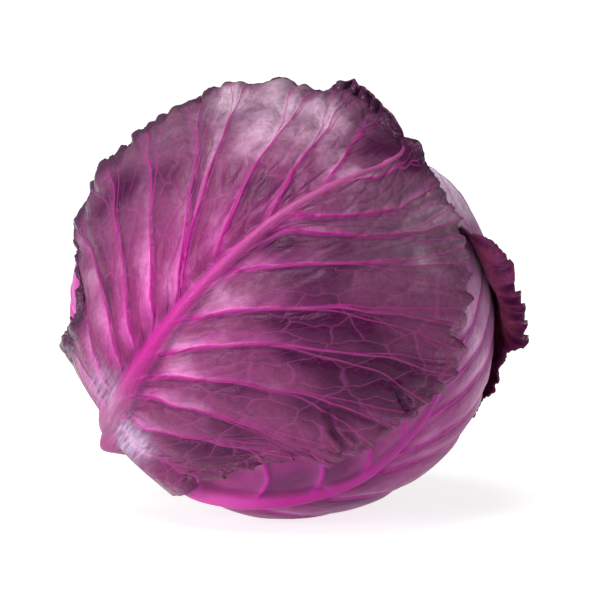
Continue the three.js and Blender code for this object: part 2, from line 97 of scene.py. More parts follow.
MM = 0.001
TINY = 1e-9                                 # keeps a division from dividing by nothing


def unit(vectors):
    """Vectors of length one along the given ones."""
    vectors = np.asarray(vectors, float)
    return vectors / np.maximum(np.linalg.norm(vectors, axis=-1, keepdims=True), TINY)


def mix(a, b, share):
    """a where share is 0, b where it is 1."""
    return a + (b - a) * share


def ease(low, high, x):
    """0 at low, 1 at high, and level at both ends: the cubic 3f^2 - 2f^3."""
    f = np.clip((x - low) / (high - low), 0, 1)
    return f * f * (3 - 2 * f)


def bell(x, width):
    """1 at 0, and almost nothing past twice the width to either side: exp(-(x / width)^2)."""
    return np.exp(-(x / width) ** 2)


def through(points, row):
    """A smooth curve through points, one at each whole number of row (a Catmull-Rom spline)."""
    points = np.asarray(points, float)
    last = len(points) - 1
    k = np.clip(np.floor(row).astype(int), 0, last - 1)
    f = (row - k)[..., None]
    a, b, c, d = (points[np.clip(k + step, 0, last)] for step in (-1, 0, 1, 2))
    return b + 0.5 * f * (c - a + f * (2 * a - 5 * b + 4 * c - d + f * (3 * (b - c) + d - a)))


# ---- the frame of the head: crown, front and side, at right angles ----
elevation, azimuth, front_up = np.radians([CROWN_ELEVATION, CROWN_AZIMUTH, FRONT_ELEVATION])
CROWN = np.array([
    np.cos(elevation) * np.cos(azimuth),
    np.cos(elevation) * np.sin(azimuth),
    np.sin(elevation),
])
FACING = np.array([0, -np.cos(front_up), np.sin(front_up)])
FRONT = unit(FACING - FACING @ CROWN * CROWN)
SIDE = np.cross(CROWN, FRONT)


@dataclass(eq=False)
class Leaf:
    """A wrapper leaf's plan, in mm, and its place on the head.

    On the flat leaf u runs from the stalk to the tip, and v across to the right. turn says which
    way it faces, in degrees round the crown from the front. midrib is a line of (u, v) points.
    Each half has a line for each row: where the vein leaves the midrib (u), its middle point
    (u, v) and its end on the margin (u, v). rib is the midrib's height, and rib_width how broad
    it is beside the usual. Ruffles are (row, mm) pairs. A flare is a side, -1 or 1, and a list
    of (row, width, radius of the bend). ragged is how strong the random teeth are. The midrib is
    lower where it clasps the stalk: clasp is the share of its height there, and clasped_to how
    far along the leaf that goes.
    """

    name: str
    turn: float
    midrib: list
    left: list
    right: list
    rib: float
    rib_width: float
    rows_per_vein: int
    ruffle_left: tuple = ((0, 2),)
    ruffle_right: tuple = ((0, 2),)
    flares: tuple = ()
    ragged: float = 1
    clasp: float = 0.2
    clasped_to: float = 0.09

    def __post_init__(self):
        """Its own directions on the head, and its midrib and margin as smooth lines."""
        for key in ("midrib", "left", "right", "ruffle_left", "ruffle_right"):
            setattr(self, key, np.array(getattr(self, key), float))
        self.rows = len(self.left) - 1
        turn, polar = np.radians([self.turn, LEAF_MIDDLE])
        out = FRONT * np.cos(turn) + SIDE * np.sin(turn)
        self.middle = -CROWN * np.cos(polar) + out * np.sin(polar)
        self.tipward = CROWN * np.sin(polar) + out * np.cos(polar)
        self.across = -FRONT * np.sin(turn) + SIDE * np.cos(turn)
        last = len(self.midrib) - 1
        self.rib_u, self.rib_v = through(self.midrib, np.linspace(0, last, 800)).T
        self.spine = through(self.midrib, np.linspace(0, last, 41))
        quarter_rows = np.arange(self.rows * 4 + 1) / 4
        left, right = (through(half[:, 3:], quarter_rows) for half in (self.left, self.right))
        self.outline = np.vstack([right, left[::-1], right[:1]])


FRONT_LEAF = Leaf(
    "front_wrapper_leaf", 0,
    midrib=[[-139, -16], [-118, -26], [-94, -26], [-60, -27.5], [-20, -28], [24, -23], [59, -12],
            [84, -5], [105, -10]],
    left=[
        [-139, -139, -30, -139, -44],
        [-101, -92, -50, -103, -75],
        [-90, -75, -53, -63, -72],
        [-80, -48, -67, -44, -120],
        [-66, -31, -67, -6, -125],
        [-51, -8, -68, 22, -121],
        [-36, 12, -62, 54, -115],
        [-32, 28, -64, 82, -98],
        [-12, 42, -49, 102, -66],
        [16, 58, -36, 113, -48],
        [44, 76, -25, 115, -30],
        [105, 105, -10, 105, -10],
    ],
    right=[
        [-139, -139, 2, -137, 22],
        [-112, -98, 3, -84, 28],
        [-101, -69, 11, -46, 45],
        [-84, -53, 9, -35, 62],
        [-72, -32, 13, -10, 69],
        [-57, -8, 17, 22, 75],
        [-37, 8, 12, 45, 64],
        [-8, 25, 7, 68, 50],
        [18, 43, 9, 80, 35],
        [26, 52, 4, 90, 19],
        [50, 72, -3, 98, 3],
        [105, 105, -10, 105, -10],
    ],
    rib=5, rib_width=1.15, rows_per_vein=5,
    ruffle_left=[(0, 2), (0.8, 3), (1, 5), (1.3, 0.5), (1.8, 2), (2.3, 1), (2.7, 0), (3, 3.6),
                 (3.3, 0.4), (3.8, 4), (4.4, 1), (4.7, 2), (5, 0), (5.6, 2.4), (6.2, 0.2),
                 (6.7, 2.4), (7.1, 0), (7.5, 2.6), (8, 0), (8.6, 4), (9.4, 3), (10.4, 0)],
    ruffle_right=[(0, 0), (2, 1), (2.4, 0.3), (2.8, 2.4), (3.3, 0.4), (3.8, 2), (4.4, 0.6),
                  (5, 1.6), (5.6, 0.5), (6.4, 1), (11, 0.4)],
    flares=[
        (-1, [(8, 0, 3.2), (8.4, 5, 3.2), (9, 7, 3.2), (9.7, 9, 3.2), (10.4, 9, 3.2), (10.8, 6, 3.2),
              (11, 4, 3.2)]),
        (1, [(9, 0, 3.2), (9.8, 3, 3.2), (10.5, 6, 3.2), (11, 4, 3.2)]),
    ],
    ragged=1.5, clasp=0.6,
)

FLARED_LEAF = Leaf(
    "flared_wrapper_leaf", 180,
    midrib=[[-139, -6], [-112, -12], [-80, -13], [-40, -11], [0, -8], [45, -4], [90, -1], [126, 0]],
    left=[
        [-139, -139, -17, -139, -32],
        [-118, -116, -30, -118, -56],
        [-100, -92, -42, -88, -80],
        [-80, -66, -54, -52, -99],
        [-58, -38, -58, -14, -103],
        [-34, -8, -58, 22, -105],
        [-8, 20, -54, 46, -101],
        [18, 42, -52, 66, -101],
        [42, 60, -50, 83, -92],
        [66, 80, -46, 96, -84],
        [90, 99, -30, 108, -60],
        [126, 126, 0, 126, 0],
    ],
    right=[
        [-139, -139, 10, -139, 28],
        [-118, -112, 20, -112, 50],
        [-100, -88, 34, -82, 74],
        [-80, -62, 42, -50, 90],
        [-58, -34, 46, -16, 98],
        [-34, -6, 47, 18, 99],
        [-8, 20, 45, 46, 92],
        [18, 42, 40, 68, 80],
        [42, 63, 34, 86, 65],
        [66, 83, 26, 101, 48],
        [90, 102, 16, 115, 28],
        [126, 126, 0, 126, 0],
    ],
    rib=4.6, rib_width=1, rows_per_vein=4,
    ruffle_left=[(0, 2), (5, 1), (9, 1)],
    ruffle_right=[(0, 2.4), (4, 1.6), (11, 1)],
    flares=[
        (-1, [(5.5, 0, 10), (5.75, 6, 10), (6.35, 6, 10), (6.65, 15, 10), (7.2, 15, 9), (8, 14, 8),
              (9, 15, 7), (9.5, 15, 7), (10, 12, 7), (10.4, 0, 7)]),
    ],
    ragged=2,
)


def plain_leaf(name, turn, midrib, width_left, width_right, rib, rib_width, veins=8):
    """A leaf with an egg-shaped blade, given by how wide its halves are.

    The vein at the share f of the midrib ends on the margin at the angle a = pi (0.16 + 0.84 f):
    as far out as sin a raised to 0.85, which is nearly an oval, and as far up as 1 - cos a. Its
    middle point is drawn back by 5 mm, so it bends towards the tip.
    """
    tip = midrib[-1][0]
    length = tip - LEAF_BASE

    def half(width, sign):
        """The rows of one half, from the stalk to the tip."""
        f = np.arange(1, veins + 1) / (veins + 1)
        start = LEAF_BASE + length * (0.08 + 0.82 * f)
        sweep = np.pi * mix(0.16, 1, f)
        end_u = mix(LEAF_BASE + 6, tip, 0.5 - 0.5 * np.cos(sweep))
        end_v = sign * width * np.sin(sweep) ** 0.85
        rows = np.stack([start, mix(start, end_u, 0.5) - 5, end_v * 0.53, end_u, end_v], -1)
        base = [LEAF_BASE, LEAF_BASE, sign * 16, LEAF_BASE, sign * 32]
        return np.vstack([base, rows, [tip, *midrib[-1], *midrib[-1]]])

    return Leaf(name, turn, midrib, half(width_left, -1), half(width_right, 1), rib, rib_width, 3)


LEFT_LEAF = plain_leaf(
    "left_wrapper_leaf", -88,
    [[-139, -4], [-115, -9], [-80, -12], [-40, -11], [0, -8], [50, -3], [96, 0]], 96, 84, 4.2, 1)
UNDER_LEAF = Leaf(
    "under_wrapper_leaf", 60,
    midrib=[[-139, -24], [-120, -40], [-101, -35], [-84, -25], [-67, -16], [-46, -6], [-25, -3],
            [0, 0], [41, 0], [96, 0]],
    left=[
        [-139, -139, -36, -139, -50],
        [-122, -114, -54, -104, -72],
        [-104, -86, -56, -72, -84],
        [-84, -58, -46, -38, -88],
        [-62, -32, -42, -6, -88],
        [-42, -8, -38, 24, -84],
        [-22, 14, -34, 50, -74],
        [0, 34, -28, 70, -58],
        [22, 54, -20, 84, -40],
        [50, 72, -12, 92, -20],
        [96, 96, 0, 96, 0],
    ],
    right=[
        [-139, -139, -8, -139, 10],
        [-120, -110, -6, -112, 38],
        [-92, -78, 12, -72, 62],
        [-66, -50, 24, -34, 84],
        [-45, -22, 26, 2, 94],
        [-30, -2, 34, 30, 94],
        [-10, 20, 36, 54, 84],
        [4, 34, 32, 70, 66],
        [18, 48, 24, 82, 46],
        [50, 68, 12, 91, 24],
        [96, 96, 0, 96, 0],
    ],
    rib=5.2, rib_width=1.4, rows_per_vein=3, clasped_to=0.22,
)
LEAVES = [LEFT_LEAF, UNDER_LEAF, FLARED_LEAF, FRONT_LEAF]   # innermost first


# ---- laying flat leaves on the ball ----
def packed_radius(direction):
    """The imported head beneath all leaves: a ball, fuller low down and flatter on top."""
    radius = np.full(direction.shape[:-1], HEART_RADIUS)
    for towards, amount, power in BULGES:
        radius = radius + amount * np.maximum(0, direction @ unit(towards)) ** power
    return radius - DRAWN_IN_AT_STALK * np.maximum(0, -direction @ CROWN) ** 12


def direction_at(leaf, flat):
    """Flat leaf points to directions: distance from the leaf's middle is kept as arc on the
    ball, and so is its bearing."""
    distance = np.maximum(np.hypot(flat[..., 0], flat[..., 1]), TINY)
    angle = distance / BALL_RADIUS
    stretch = np.sin(angle) / distance
    return (np.cos(angle)[..., None] * leaf.middle
            + (flat[..., 0] * stretch)[..., None] * leaf.tipward
            + (flat[..., 1] * stretch)[..., None] * leaf.across)


def flat_at(leaf, direction):
    """Directions back to flat leaf points."""
    angle = np.arccos(np.clip(direction @ leaf.middle, -1, 1))
    a, b = direction @ leaf.tipward, direction @ leaf.across
    stretch = angle * BALL_RADIUS / np.maximum(np.hypot(a, b), TINY)
    return np.stack([a * stretch, b * stretch], -1)


def nearest_on(line, flat):
    """Distance from flat points to a line of points, and how far along it the nearest spot is."""
    best = np.full(flat.shape[:-1], np.inf)
    along = np.zeros(flat.shape[:-1])
    for k in range(len(line) - 1):
        step = line[k + 1] - line[k]
        f = np.clip((flat - line[k]) @ step / max(step @ step, TINY), 0, 1)
        gap = flat - line[k] - f[..., None] * step
        distance = np.hypot(gap[..., 0], gap[..., 1])
        nearer = distance < best
        best = np.where(nearer, distance, best)
        along = np.where(nearer, (k + f) / (len(line) - 1), along)
    return best, along


def outside_of(leaf, flat):
    """How far flat points are outside a leaf's margin, negative inside it (even-odd rule)."""
    inside = np.zeros(flat.shape[:-1], bool)
    u, v = flat[..., 0], flat[..., 1]
    for a, b in zip(leaf.outline[1:], leaf.outline[:-1]):
        crosses = (a[1] > v) != (b[1] > v)
        rise = b[1] - a[1] if b[1] != a[1] else TINY
        inside ^= crosses & (u < a[0] + (b[0] - a[0]) * (v - a[1]) / rise)
    distance, _ = nearest_on(leaf.outline, flat)
    return np.where(inside, -distance, distance)


def rib_height(leaf, along):
    """The midrib stands high where the blade begins and thins to the tip; it is lower again
    where it clasps the stalk."""
    clasp = leaf.clasp + (1 - leaf.clasp) * ease(0, leaf.clasped_to, along)
    return (leaf.rib * (1 - along) ** 1.25 + 0.5 * (1 - along)) * clasp


def rib_half_width(leaf, along):
    """Half the width of the midrib, which broadens where it clasps the stalk."""
    return leaf.rib_width * (7.2 * (1 - along) ** 1.6 + 0.7) + 3 * (1 - ease(0, 0.11, along))


def drawn_in(flat):
    """A flat leaf laid on a ball is narrower far from its middle: sin(a) / a for the arc a."""
    angle = np.maximum(np.hypot(flat[..., 0], flat[..., 1]), TINY) / BALL_RADIUS
    return np.sin(angle) / angle


def cover_of(leaf, direction):
    """What a leaf adds to the height of those that lie on it: its blade and its midrib, falling
    away smoothly outside its margin."""
    flat = flat_at(leaf, direction)
    blanket = 1 - ease(HELD_OFF, HELD_OFF + DRAPE, outside_of(leaf, flat))
    from_stalk = np.arccos(np.clip(-direction @ CROWN, -1, 1))
    layer = LAYER + STALK_CLEARANCE * (1 - ease(*CLASP_ENDS, from_stalk))
    distance, along = nearest_on(leaf.spine, flat)
    reach = rib_half_width(leaf, along) + RIB_HELD_OFF
    over_rib = 1 - ease(reach, reach + DRAPE, distance * drawn_in(flat))
    return blanket * (layer + rib_height(leaf, along) * over_rib)


def beneath(index, direction):
    """The height at which a leaf lies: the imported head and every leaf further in."""
    height = packed_radius(direction) + GAP
    for leaf in LEAVES[:index]:
        height = height + cover_of(leaf, direction)
    return height


def freedom(index, direction, near=2, far=12):
    """1 where nothing lies on the leaf, 0 under another leaf and up to near mm from its edge."""
    free = np.ones(direction.shape[:-1])
    for leaf in LEAVES[index + 1:]:
        free = np.minimum(free, ease(near, far, outside_of(leaf, flat_at(leaf, direction))))
    return free


def flat_point(leaf, row, t, own_start=False):
    """A point of the flat leaf: a quadratic arc from the midrib through the vein's middle.

    Both halves share a start on the midrib, and each turns to its own over the first part of
    the way; with own_start the arc is the vein's own from the midrib on.
    """
    left, right = through(leaf.left, row), through(leaf.right, row)
    own = np.where(t[..., None] < 0, left, right)
    reach = np.abs(t)
    shared = (left[..., 0] + right[..., 0]) / 2
    start_u = own[..., 0] if own_start else mix(shared, own[..., 0], ease(0, 0.12, reach))
    start = np.stack([start_u, np.interp(start_u, leaf.rib_u, leaf.rib_v)], -1)
    end = own[..., 3:]
    bend = 2 * own[..., 1:3] - (start + end) / 2
    r = reach[..., None]
    return (1 - r) ** 2 * start + 2 * r * (1 - r) * bend + r ** 2 * end


def trim(points, margin):
    """Keeps points off the floor and inside the cut at the stalk, by a margin in mm."""
    past = (points - CENTRE) @ CROWN + CUT - margin
    trimmed = points - np.minimum(past, 0)[..., None] * CROWN
    trimmed[..., 2] = np.maximum(trimmed[..., 2], margin)
    return trimmed


# ---- random waves, all from set seeds ----
def wave_1d(x, seed):
    """Random heights from -1 to 1 at whole numbers of x, joined by smooth steps."""
    heights = np.random.default_rng(seed).uniform(-1, 1, RANDOM_STEPS)
    k = np.floor(x).astype(int)
    return mix(heights[k % RANDOM_STEPS], heights[(k + 1) % RANDOM_STEPS], ease(0, 1, x - k))


def wave_2d(flat, size, seed):
    """Random heights from -1 to 1 on a square grid of that size in mm, joined smoothly."""
    heights = np.random.default_rng(seed).uniform(-1, 1, (RANDOM_CELLS, RANDOM_CELLS))
    place = flat / size
    k = np.floor(place).astype(int)
    f = ease(0, 1, place - k)
    (i, j), (next_i, next_j) = (np.moveaxis(n % RANDOM_CELLS, -1, 0) for n in (k, k + 1))
    low = mix(heights[i, j], heights[next_i, j], f[..., 0])
    high = mix(heights[i, next_j], heights[next_i, next_j], f[..., 0])
    return mix(low, high, f[..., 1])


def serration(length, pitch, seed):
    """Pointed teeth along a margin, 0 to 1: each fills its own stretch of uneven width, and its
    tip, half way along it, has its own random height."""
    warped = length / pitch + 0.4 * wave_1d(length / (2.3 * pitch), seed)
    k = np.floor(warped).astype(int)
    heights = np.random.default_rng(seed + 1).uniform(0.15, 1, RANDOM_STEPS)[k % RANDOM_STEPS]
    return heights * (1 - np.abs(2 * (warped - k) - 1) ** 0.8)


# ---- the inner face of a leaf ----
def margin_length(leaf, row, t):
    """Length along the margin from the stalk, in mm, on the point's own side."""
    rows = np.linspace(0, leaf.rows, 600)
    lengths = []
    for half in (leaf.left, leaf.right):
        steps = np.linalg.norm(np.diff(through(half[:, 3:], rows), axis=0), axis=1)
        lengths.append(np.interp(row, rows, np.concatenate([[0], np.cumsum(steps)])))
    return np.where(t < 0, lengths[0], lengths[1])


def off_the_ends(leaf, row):
    """1 along the blade, 0 at the stalk's row and the tip's, where both halves meet."""
    return ease(0.4, 1.6, row) * ease(0, 1.6, leaf.rows - row)


def teeth(leaf, row, reach, length, seed):
    """How far out the margin reaches, in mm: the frame's own teeth, a cosine of the row, and
    random points and nicks."""
    wave = np.cos(np.pi * row * leaf.rows_per_vein)
    random = POINT_HEIGHT * serration(length, POINT_PITCH, seed)
    random = random + NICK_HEIGHT * (serration(length, NICK_PITCH, seed + 2) - 1)
    return TOOTH * wave * ease(0.86, 0.94, reach) + leaf.ragged * random * ease(0.92, 1, reach)


def ruffles(leaf, row, t, flat, length, seed):
    """How far the blade stands off what it lies on, in mm: the frame's own ruffles, random
    crimps and curls along the margin, then puckers and dents further in."""
    reach = np.abs(t)
    left, right = (np.interp(row, *table.T) for table in (leaf.ruffle_left, leaf.ruffle_right))
    crimps = CRIMP_HEIGHT * wave_1d(length / CRIMP_PITCH, seed + 4)
    curls = CURL_HEIGHT * leaf.ragged * (1 + wave_1d(length / CURL_PITCH, seed + 7))
    puckers = PUCKER_HEIGHT * (1 + wave_2d(flat, PUCKER_SIZE, seed + 5))
    dents = DENT_HEIGHT * (1 + wave_2d(flat, DENT_SIZE, seed + 6))
    return (np.where(t < 0, left, right) * ease(0.72, 1, reach) + crimps * ease(0.88, 1, reach)
            + curls * ease(0.8, 1, reach) + puckers * ease(0.6, 0.95, reach) + dents)


def inner_face(leaf, row, t):
    """The inner face of a leaf at rows and shares t, with its flat points and how far it is
    turned back by a flare, in radians."""
    index = LEAVES.index(leaf)
    flat = flat_point(leaf, row, t)
    side = np.where(t < 0, -1.0, 1.0)
    root = flat_point(leaf, row, side * 0.6)
    end = flat_point(leaf, row, side)
    length = margin_length(leaf, row, t)
    seed = 10 * index

    # teeth and ruffles grow towards the margin, where nothing holds it down
    loose = off_the_ends(leaf, row) * freedom(index, direction_at(leaf, flat))
    reach = np.abs(t)
    out = teeth(leaf, row, reach, length, seed) * ease(0.72, 1, reach) * loose
    moved = flat + unit(flat - root) * out[..., None]
    rise = ruffles(leaf, row, t, flat, length, seed) * loose

    # a flare: the outer strip of the blade bends away from the ball along an arc
    turned = np.zeros_like(t)
    open_to = freedom(index, direction_at(leaf, flat), 0.5, 4)
    for flare_side, strip in leaf.flares:
        at_row, width, radius = np.array(strip).T
        width = np.interp(row, at_row, width) * open_to
        radius = np.interp(row, at_row, radius)
        beyond = np.maximum(0, width - np.linalg.norm(flat - end, axis=-1)) * (side == flare_side)
        bend = beyond / radius
        moved = moved - unit(end - root) * (beyond - radius * np.sin(bend))[..., None]
        rise = rise + radius * (1 - np.cos(bend))
        turned = turned + bend

    direction = direction_at(leaf, moved)
    return CENTRE + direction * (beneath(index, direction) + rise)[..., None], flat, turned


# ---- veins ----
def vein_field(leaf, row, t, flat, across_mm, forks, seed):
    """The side veins, as smooth fields from which lines of any fineness can be drawn.

    phase is the row with the veins' own wander taken off, so a side vein runs wherever it is
    whole. Between two side veins run two forks: one leaves the lower vein and one the upper,
    each at its own share of the way out. up and down are the distances to them in mm, with a
    sign. Also given: how much of a vein there is, 0 to 1, and the distance to the nearest.
    forks holds the ones with a set place: side, row left, share of the way out, row reached.
    """
    rng = np.random.default_rng(seed)
    reach = np.abs(t)
    half = (t > 0).astype(int)
    count = leaf.rows + 1
    drift = rng.uniform(-0.08, 0.08, (2, count))
    leaves_at = rng.uniform(0.35, 0.7, (2, 2, count))
    spread = rng.uniform(0.28, 0.42, (2, 2, count))
    for side, start_row, at, end_row in forks:
        way = int(end_row < start_row)
        place = (way, int(side > 0), start_row - way)
        leaves_at[place], spread[place] = at, abs(end_row - start_row)

    def offset(k):
        """How far vein k runs off its whole row: a steady drift and a small wander."""
        wander = 0.07 * wave_1d(9 * reach + 7 * k + 60 * half, seed) * ease(0.1, 0.4, reach)
        return (drift[half, k] * reach ** 1.2 + wander) * ((k > 0) & (k < leaf.rows))

    low = np.clip(np.floor(row).astype(int), 0, leaf.rows - 1)
    phase = row - mix(offset(low), offset(low + 1), row - low)
    panel = np.clip(np.floor(phase).astype(int), 0, leaf.rows - 1)

    def fork(way):
        """Signed distance to the panel's fork, 0 for the one that leaves its lower vein."""
        at = leaves_at[way, half, panel]
        out = np.clip((reach - at) / (1 - at), 0, 1) ** 1.2 * spread[way, half, panel]
        line = panel + 1 - out if way else panel + out
        return (phase - line) * across_mm

    up, down = fork(0), fork(1)
    main = np.abs(phase - np.round(phase)) * across_mm
    main = np.where((phase < 0.5) | (phase > leaf.rows - 0.5), NO_VEIN, main)
    strength = bell(main, mix(1.0, 0.4, reach))
    for distance in (up, down):
        strength = np.maximum(strength, 0.6 * bell(distance, 0.6) * (reach > FORKS_FROM))
    nearest_fork = np.where(reach > FORKS_FROM, np.minimum(np.abs(up), np.abs(down)), main)
    nearest = np.minimum(main, nearest_fork)

    # where a side vein leaves the midrib it keeps its own line
    close = reach < OWN_LINE_TO
    near_strength, near_distance = np.zeros(close.sum()), nearest[close]
    for side in (-1, 1):
        for start_row in range(1, leaf.rows):
            shares = side * np.linspace(1e-4, 0.14, 6)
            line = flat_point(leaf, np.full(6, float(start_row)), shares, own_start=True)
            distance, _ = nearest_on(line, flat[close])
            near_strength = np.maximum(near_strength, bell(distance, 1.0))
            near_distance = np.minimum(near_distance, distance)
    strength[close], nearest[close] = near_strength, near_distance
    return strength, nearest, main, phase, up, down


# ---- fields of colour, a number per vertex, from 0 to 1 where it isn't in mm ----
def toned(flat, spots):
    """How pale or dark the blade is: soft round spots of (u, v, radius in mm, amount) summed."""
    tone = np.full(flat.shape[:-1], 0.5)
    for u, v, radius, amount in spots:
        tone = tone + amount * bell(np.hypot(flat[..., 0] - u, flat[..., 1] - v), radius)
    return np.clip(tone, 0, 1)


def warmth(row, t, from_spine, along):
    """How magenta the blade is: most in a band along the midrib that is wider on the left,
    near the stalk, and over the lower veins of the right half. It is partly the blade's own
    colour and partly a painted glow of light through it."""
    band = np.minimum(0.9, np.where(t < 0, 2.2, 1.6) * (1 - along) ** 1.5)
    band = band * bell(from_spine, np.where(t < 0, 45, 21))
    near_stalk = 0.85 * (1 - ease(0.05, 0.5, along))
    lower_right = 0.45 * (t > 0) * (1 - ease(5.5, 7.5, row))
    return np.maximum(band, np.maximum(near_stalk, lower_right))


def margin_mm(leaf, row, t):
    """How far a flat point is from the margin along its vein, in mm."""
    side = np.sign(t)
    span = flat_point(leaf, row, side) - flat_point(leaf, row, side * 0.01)
    return (1 - np.abs(t)) * np.linalg.norm(span, axis=-1)


def darkened(leaf, row, t, turned, dark_edge, seed):
    """How dark the margin is: a band of uneven width in mm, and a painted shade over all that
    is turned back. The right margin darkens towards the tip; the left band is widest near the
    stalk."""
    to_tip = ease(leaf.rows - 2.5, leaf.rows - 1, row)
    amount = np.where(t < 0, dark_edge[0], mix(dark_edge[1], 1, to_tip))
    left_width = mix(12, 5, ease(5, 7, row)) + 3 * ease(7.5, 9, row)
    width = np.where(t < 0, left_width, 5) + 3.5 * wave_1d(margin_length(leaf, row, t) / 9, seed)
    # what is turned back is darkened as painted shade
    return np.maximum(amount * bell(margin_mm(leaf, row, t), width), 0.45 * ease(0.2, 1.4, turned))


# ---- meshes ----
def mesh_object(name, vertices_mm, faces, materials, face_materials, floats, uv_maps):
    """A mesh of four-cornered faces from arrays: vertices in mm, a number per vertex for each
    named attribute, and named maps of flat places per vertex, in mm."""
    mesh = bpy.data.meshes.new(name)
    mesh.vertices.add(len(vertices_mm))
    mesh.vertices.foreach_set("co", (vertices_mm * MM).astype(np.float32).ravel())
    corners = faces.astype(np.int32).ravel()
    mesh.loops.add(len(corners))
    mesh.loops.foreach_set("vertex_index", corners)
    mesh.polygons.add(len(faces))
    mesh.polygons.foreach_set("loop_start", np.arange(0, len(corners), 4, dtype=np.int32))
    mesh.polygons.foreach_set("material_index", face_materials.astype(np.int32))
    mesh.update(calc_edges=True)
    mesh.shade_smooth()
    for key, values in floats.items():
        attribute = mesh.attributes.new(key, "FLOAT", "POINT")
        attribute.data.foreach_set("value", values.astype(np.float32))
    for key, places in uv_maps.items():
        layer = mesh.uv_layers.new(name=key)
        layer.data.foreach_set("uv", (places[corners] * MM).astype(np.float32).ravel())
    for material in materials:
        mesh.materials.append(material)
    obj = bpy.data.objects.new(name, mesh)
    bpy.context.scene.collection.objects.link(obj)
    return obj


def grid_normals(points):
    """The outward direction of a grid of points: the cross product of its two gradients."""
    normal = unit(np.cross(np.gradient(points, axis=1), np.gradient(points, axis=0)))
    return normal * np.sign(np.sum(normal * (points - CENTRE), axis=-1).mean())


def grid_faces(rows, columns, first, flip):
    """Four corners for each cell of a grid whose points are numbered row by row from first."""
    i, j = np.meshgrid(np.arange(rows - 1), np.arange(columns - 1), indexing="ij")
    a = (first + i * columns + j).ravel()
    quads = np.stack([a, a + 1, a + columns + 1, a + columns], -1)
    return quads[:, ::-1] if flip else quads


def leaf_faces(rows, wide, narrow):
    """The faces of a closed leaf, and the material of each: an outer grid, an inner one with
    fewer columns, and a rim of one strip along each margin."""
    first = rows * wide
    outer = grid_faces(rows, wide, 0, False)
    inner = grid_faces(rows, narrow, first, True)
    i = np.arange(rows - 1)
    left = [i * wide, (i + 1) * wide, first + (i + 1) * narrow, first + i * narrow]
    right = [(i + 1) * wide - 1, first + (i + 1) * narrow - 1,
             first + (i + 2) * narrow - 1, (i + 2) * wide - 1]
    rim = np.vstack([np.stack(left, -1), np.stack(right, -1)])
    slots = np.repeat([0, 1, 0], [len(outer), len(inner), len(rim)])
    return np.vstack([outer, inner, rim]), slots


def paced_rows(leaf, count):
    """Rows spaced evenly along the longer margin."""
    fine = np.linspace(0, leaf.rows, 4001)
    ends = [through(half[:, 3:], fine) for half in (leaf.left, leaf.right)]
    steps = np.max([np.linalg.norm(np.diff(end, axis=0), axis=1) for end in ends], axis=0)
    length = np.concatenate([[0], np.cumsum(steps + 0.01)])
    return np.interp(np.linspace(0, length[-1], count), length, fine)


def paced_shares(count):
    """Shares from margin to margin, closest together at the margins: a line mixed with a sine.
    Given for the outer face, and a few of the same for the inner one."""
    half = np.linspace(0, 1, count)
    half = 0.35 * half + 0.65 * np.sin(np.pi / 2 * half) ** 1.2
    few = half[np.linspace(0, count - 1, INNER_COLUMNS).astype(int)]
    return [np.concatenate([-shares[:0:-1], shares]) for shares in (half, few)]


def leaf_grid(rows, shares):
    """A grid of rows and shares. The midrib's own column counts as part of the right half."""
    row, t = np.meshgrid(rows, shares, indexing="ij")
    return row, np.where(t == 0, 1e-6, t)


def row_width(flat, rows, shares):
    """How many mm apart two whole rows are, measured square to the veins: the cross product of
    the step from row to row and the vein's own direction."""
    row_step = np.gradient(flat, rows, axis=0)
    along_vein = unit(np.gradient(flat, shares, axis=1))
    across = row_step[..., 0] * along_vein[..., 1] - row_step[..., 1] * along_vein[..., 0]
    return np.maximum(np.abs(across), 2.0)


def tears(slits, flat):
    """Where the blade is torn, and the lips that stand up beside a tear. Each slit is a line of
    flat points."""
    torn, lips = np.zeros(flat.shape[:-1]), np.zeros(flat.shape[:-1])
    for slit in slits:
        distance, _ = nearest_on(np.array(slit, float), flat)
        torn = np.maximum(torn, bell(distance, 1.2))
        lips = np.maximum(lips, bell(distance - 2.6, 1.2))
    return torn, lips


def lit_side(t, phase):
    """How far across its panel a point is, from 0 on the shaded side to 1 on the lit one."""
    up_the_panel = phase - np.floor(phase)
    return np.where(t < 0, up_the_panel, 1 - up_the_panel)


def puffs(nearest, from_rib, reach):
    """How full the panels are, 0 to 1: flat at a vein, at the midrib's foot and at the margin,
    and half as full near the midrib."""
    full = (1 - bell(nearest, 3.4)) * ease(1.0, 2.4, from_rib) * ease(1, 0.9, reach)
    return full * mix(0.5, 1, ease(0.1, 0.4, reach))


def creases(t, main, from_rib, along, lit):
    """Two depths of crease, 0 to 1: along the midrib's foot, most on the right, and along the
    shaded side of each side vein, where it fades on its way out."""
    reach = np.abs(t)
    at_foot = bell(from_rib - 1.15, 0.35) * np.where(t > 0, 1, 0.6) * (1 - along) ** 0.7
    beside = bell(main - 1.6, 0.7) * ease(1.6, 2.2, from_rib) * ease(0.55, 0.45, lit)
    return at_foot, beside * mix(1, 0.3, ease(0.2, 0.8, reach)) * ease(0.1, 0.2, reach)


def painted_vein_highlight(main, nearest, reach, along, lit):
    """How much painted highlight the blade has beside a vein: exp(-d / w) at the distance d, where
    w is 3.2 mm on the vein's lit side and 0.8 mm on the other. Close to the midrib it follows the
    mesh's own veins, with w 1.5 mm. It is weaker far out and near the tip."""
    vein_highlight = np.exp(-main / mix(0.8, 3.2, ease(0.45, 0.55, lit))) * ease(0.08, 0.16, reach)
    vein_highlight = np.maximum(vein_highlight, np.exp(-nearest / 1.5) * ease(0.16, 0.1, reach))
    return vein_highlight * mix(1, 0.15, ease(0.1, 0.6, reach)) * mix(1, 0.3, ease(0.45, 0.75, along))


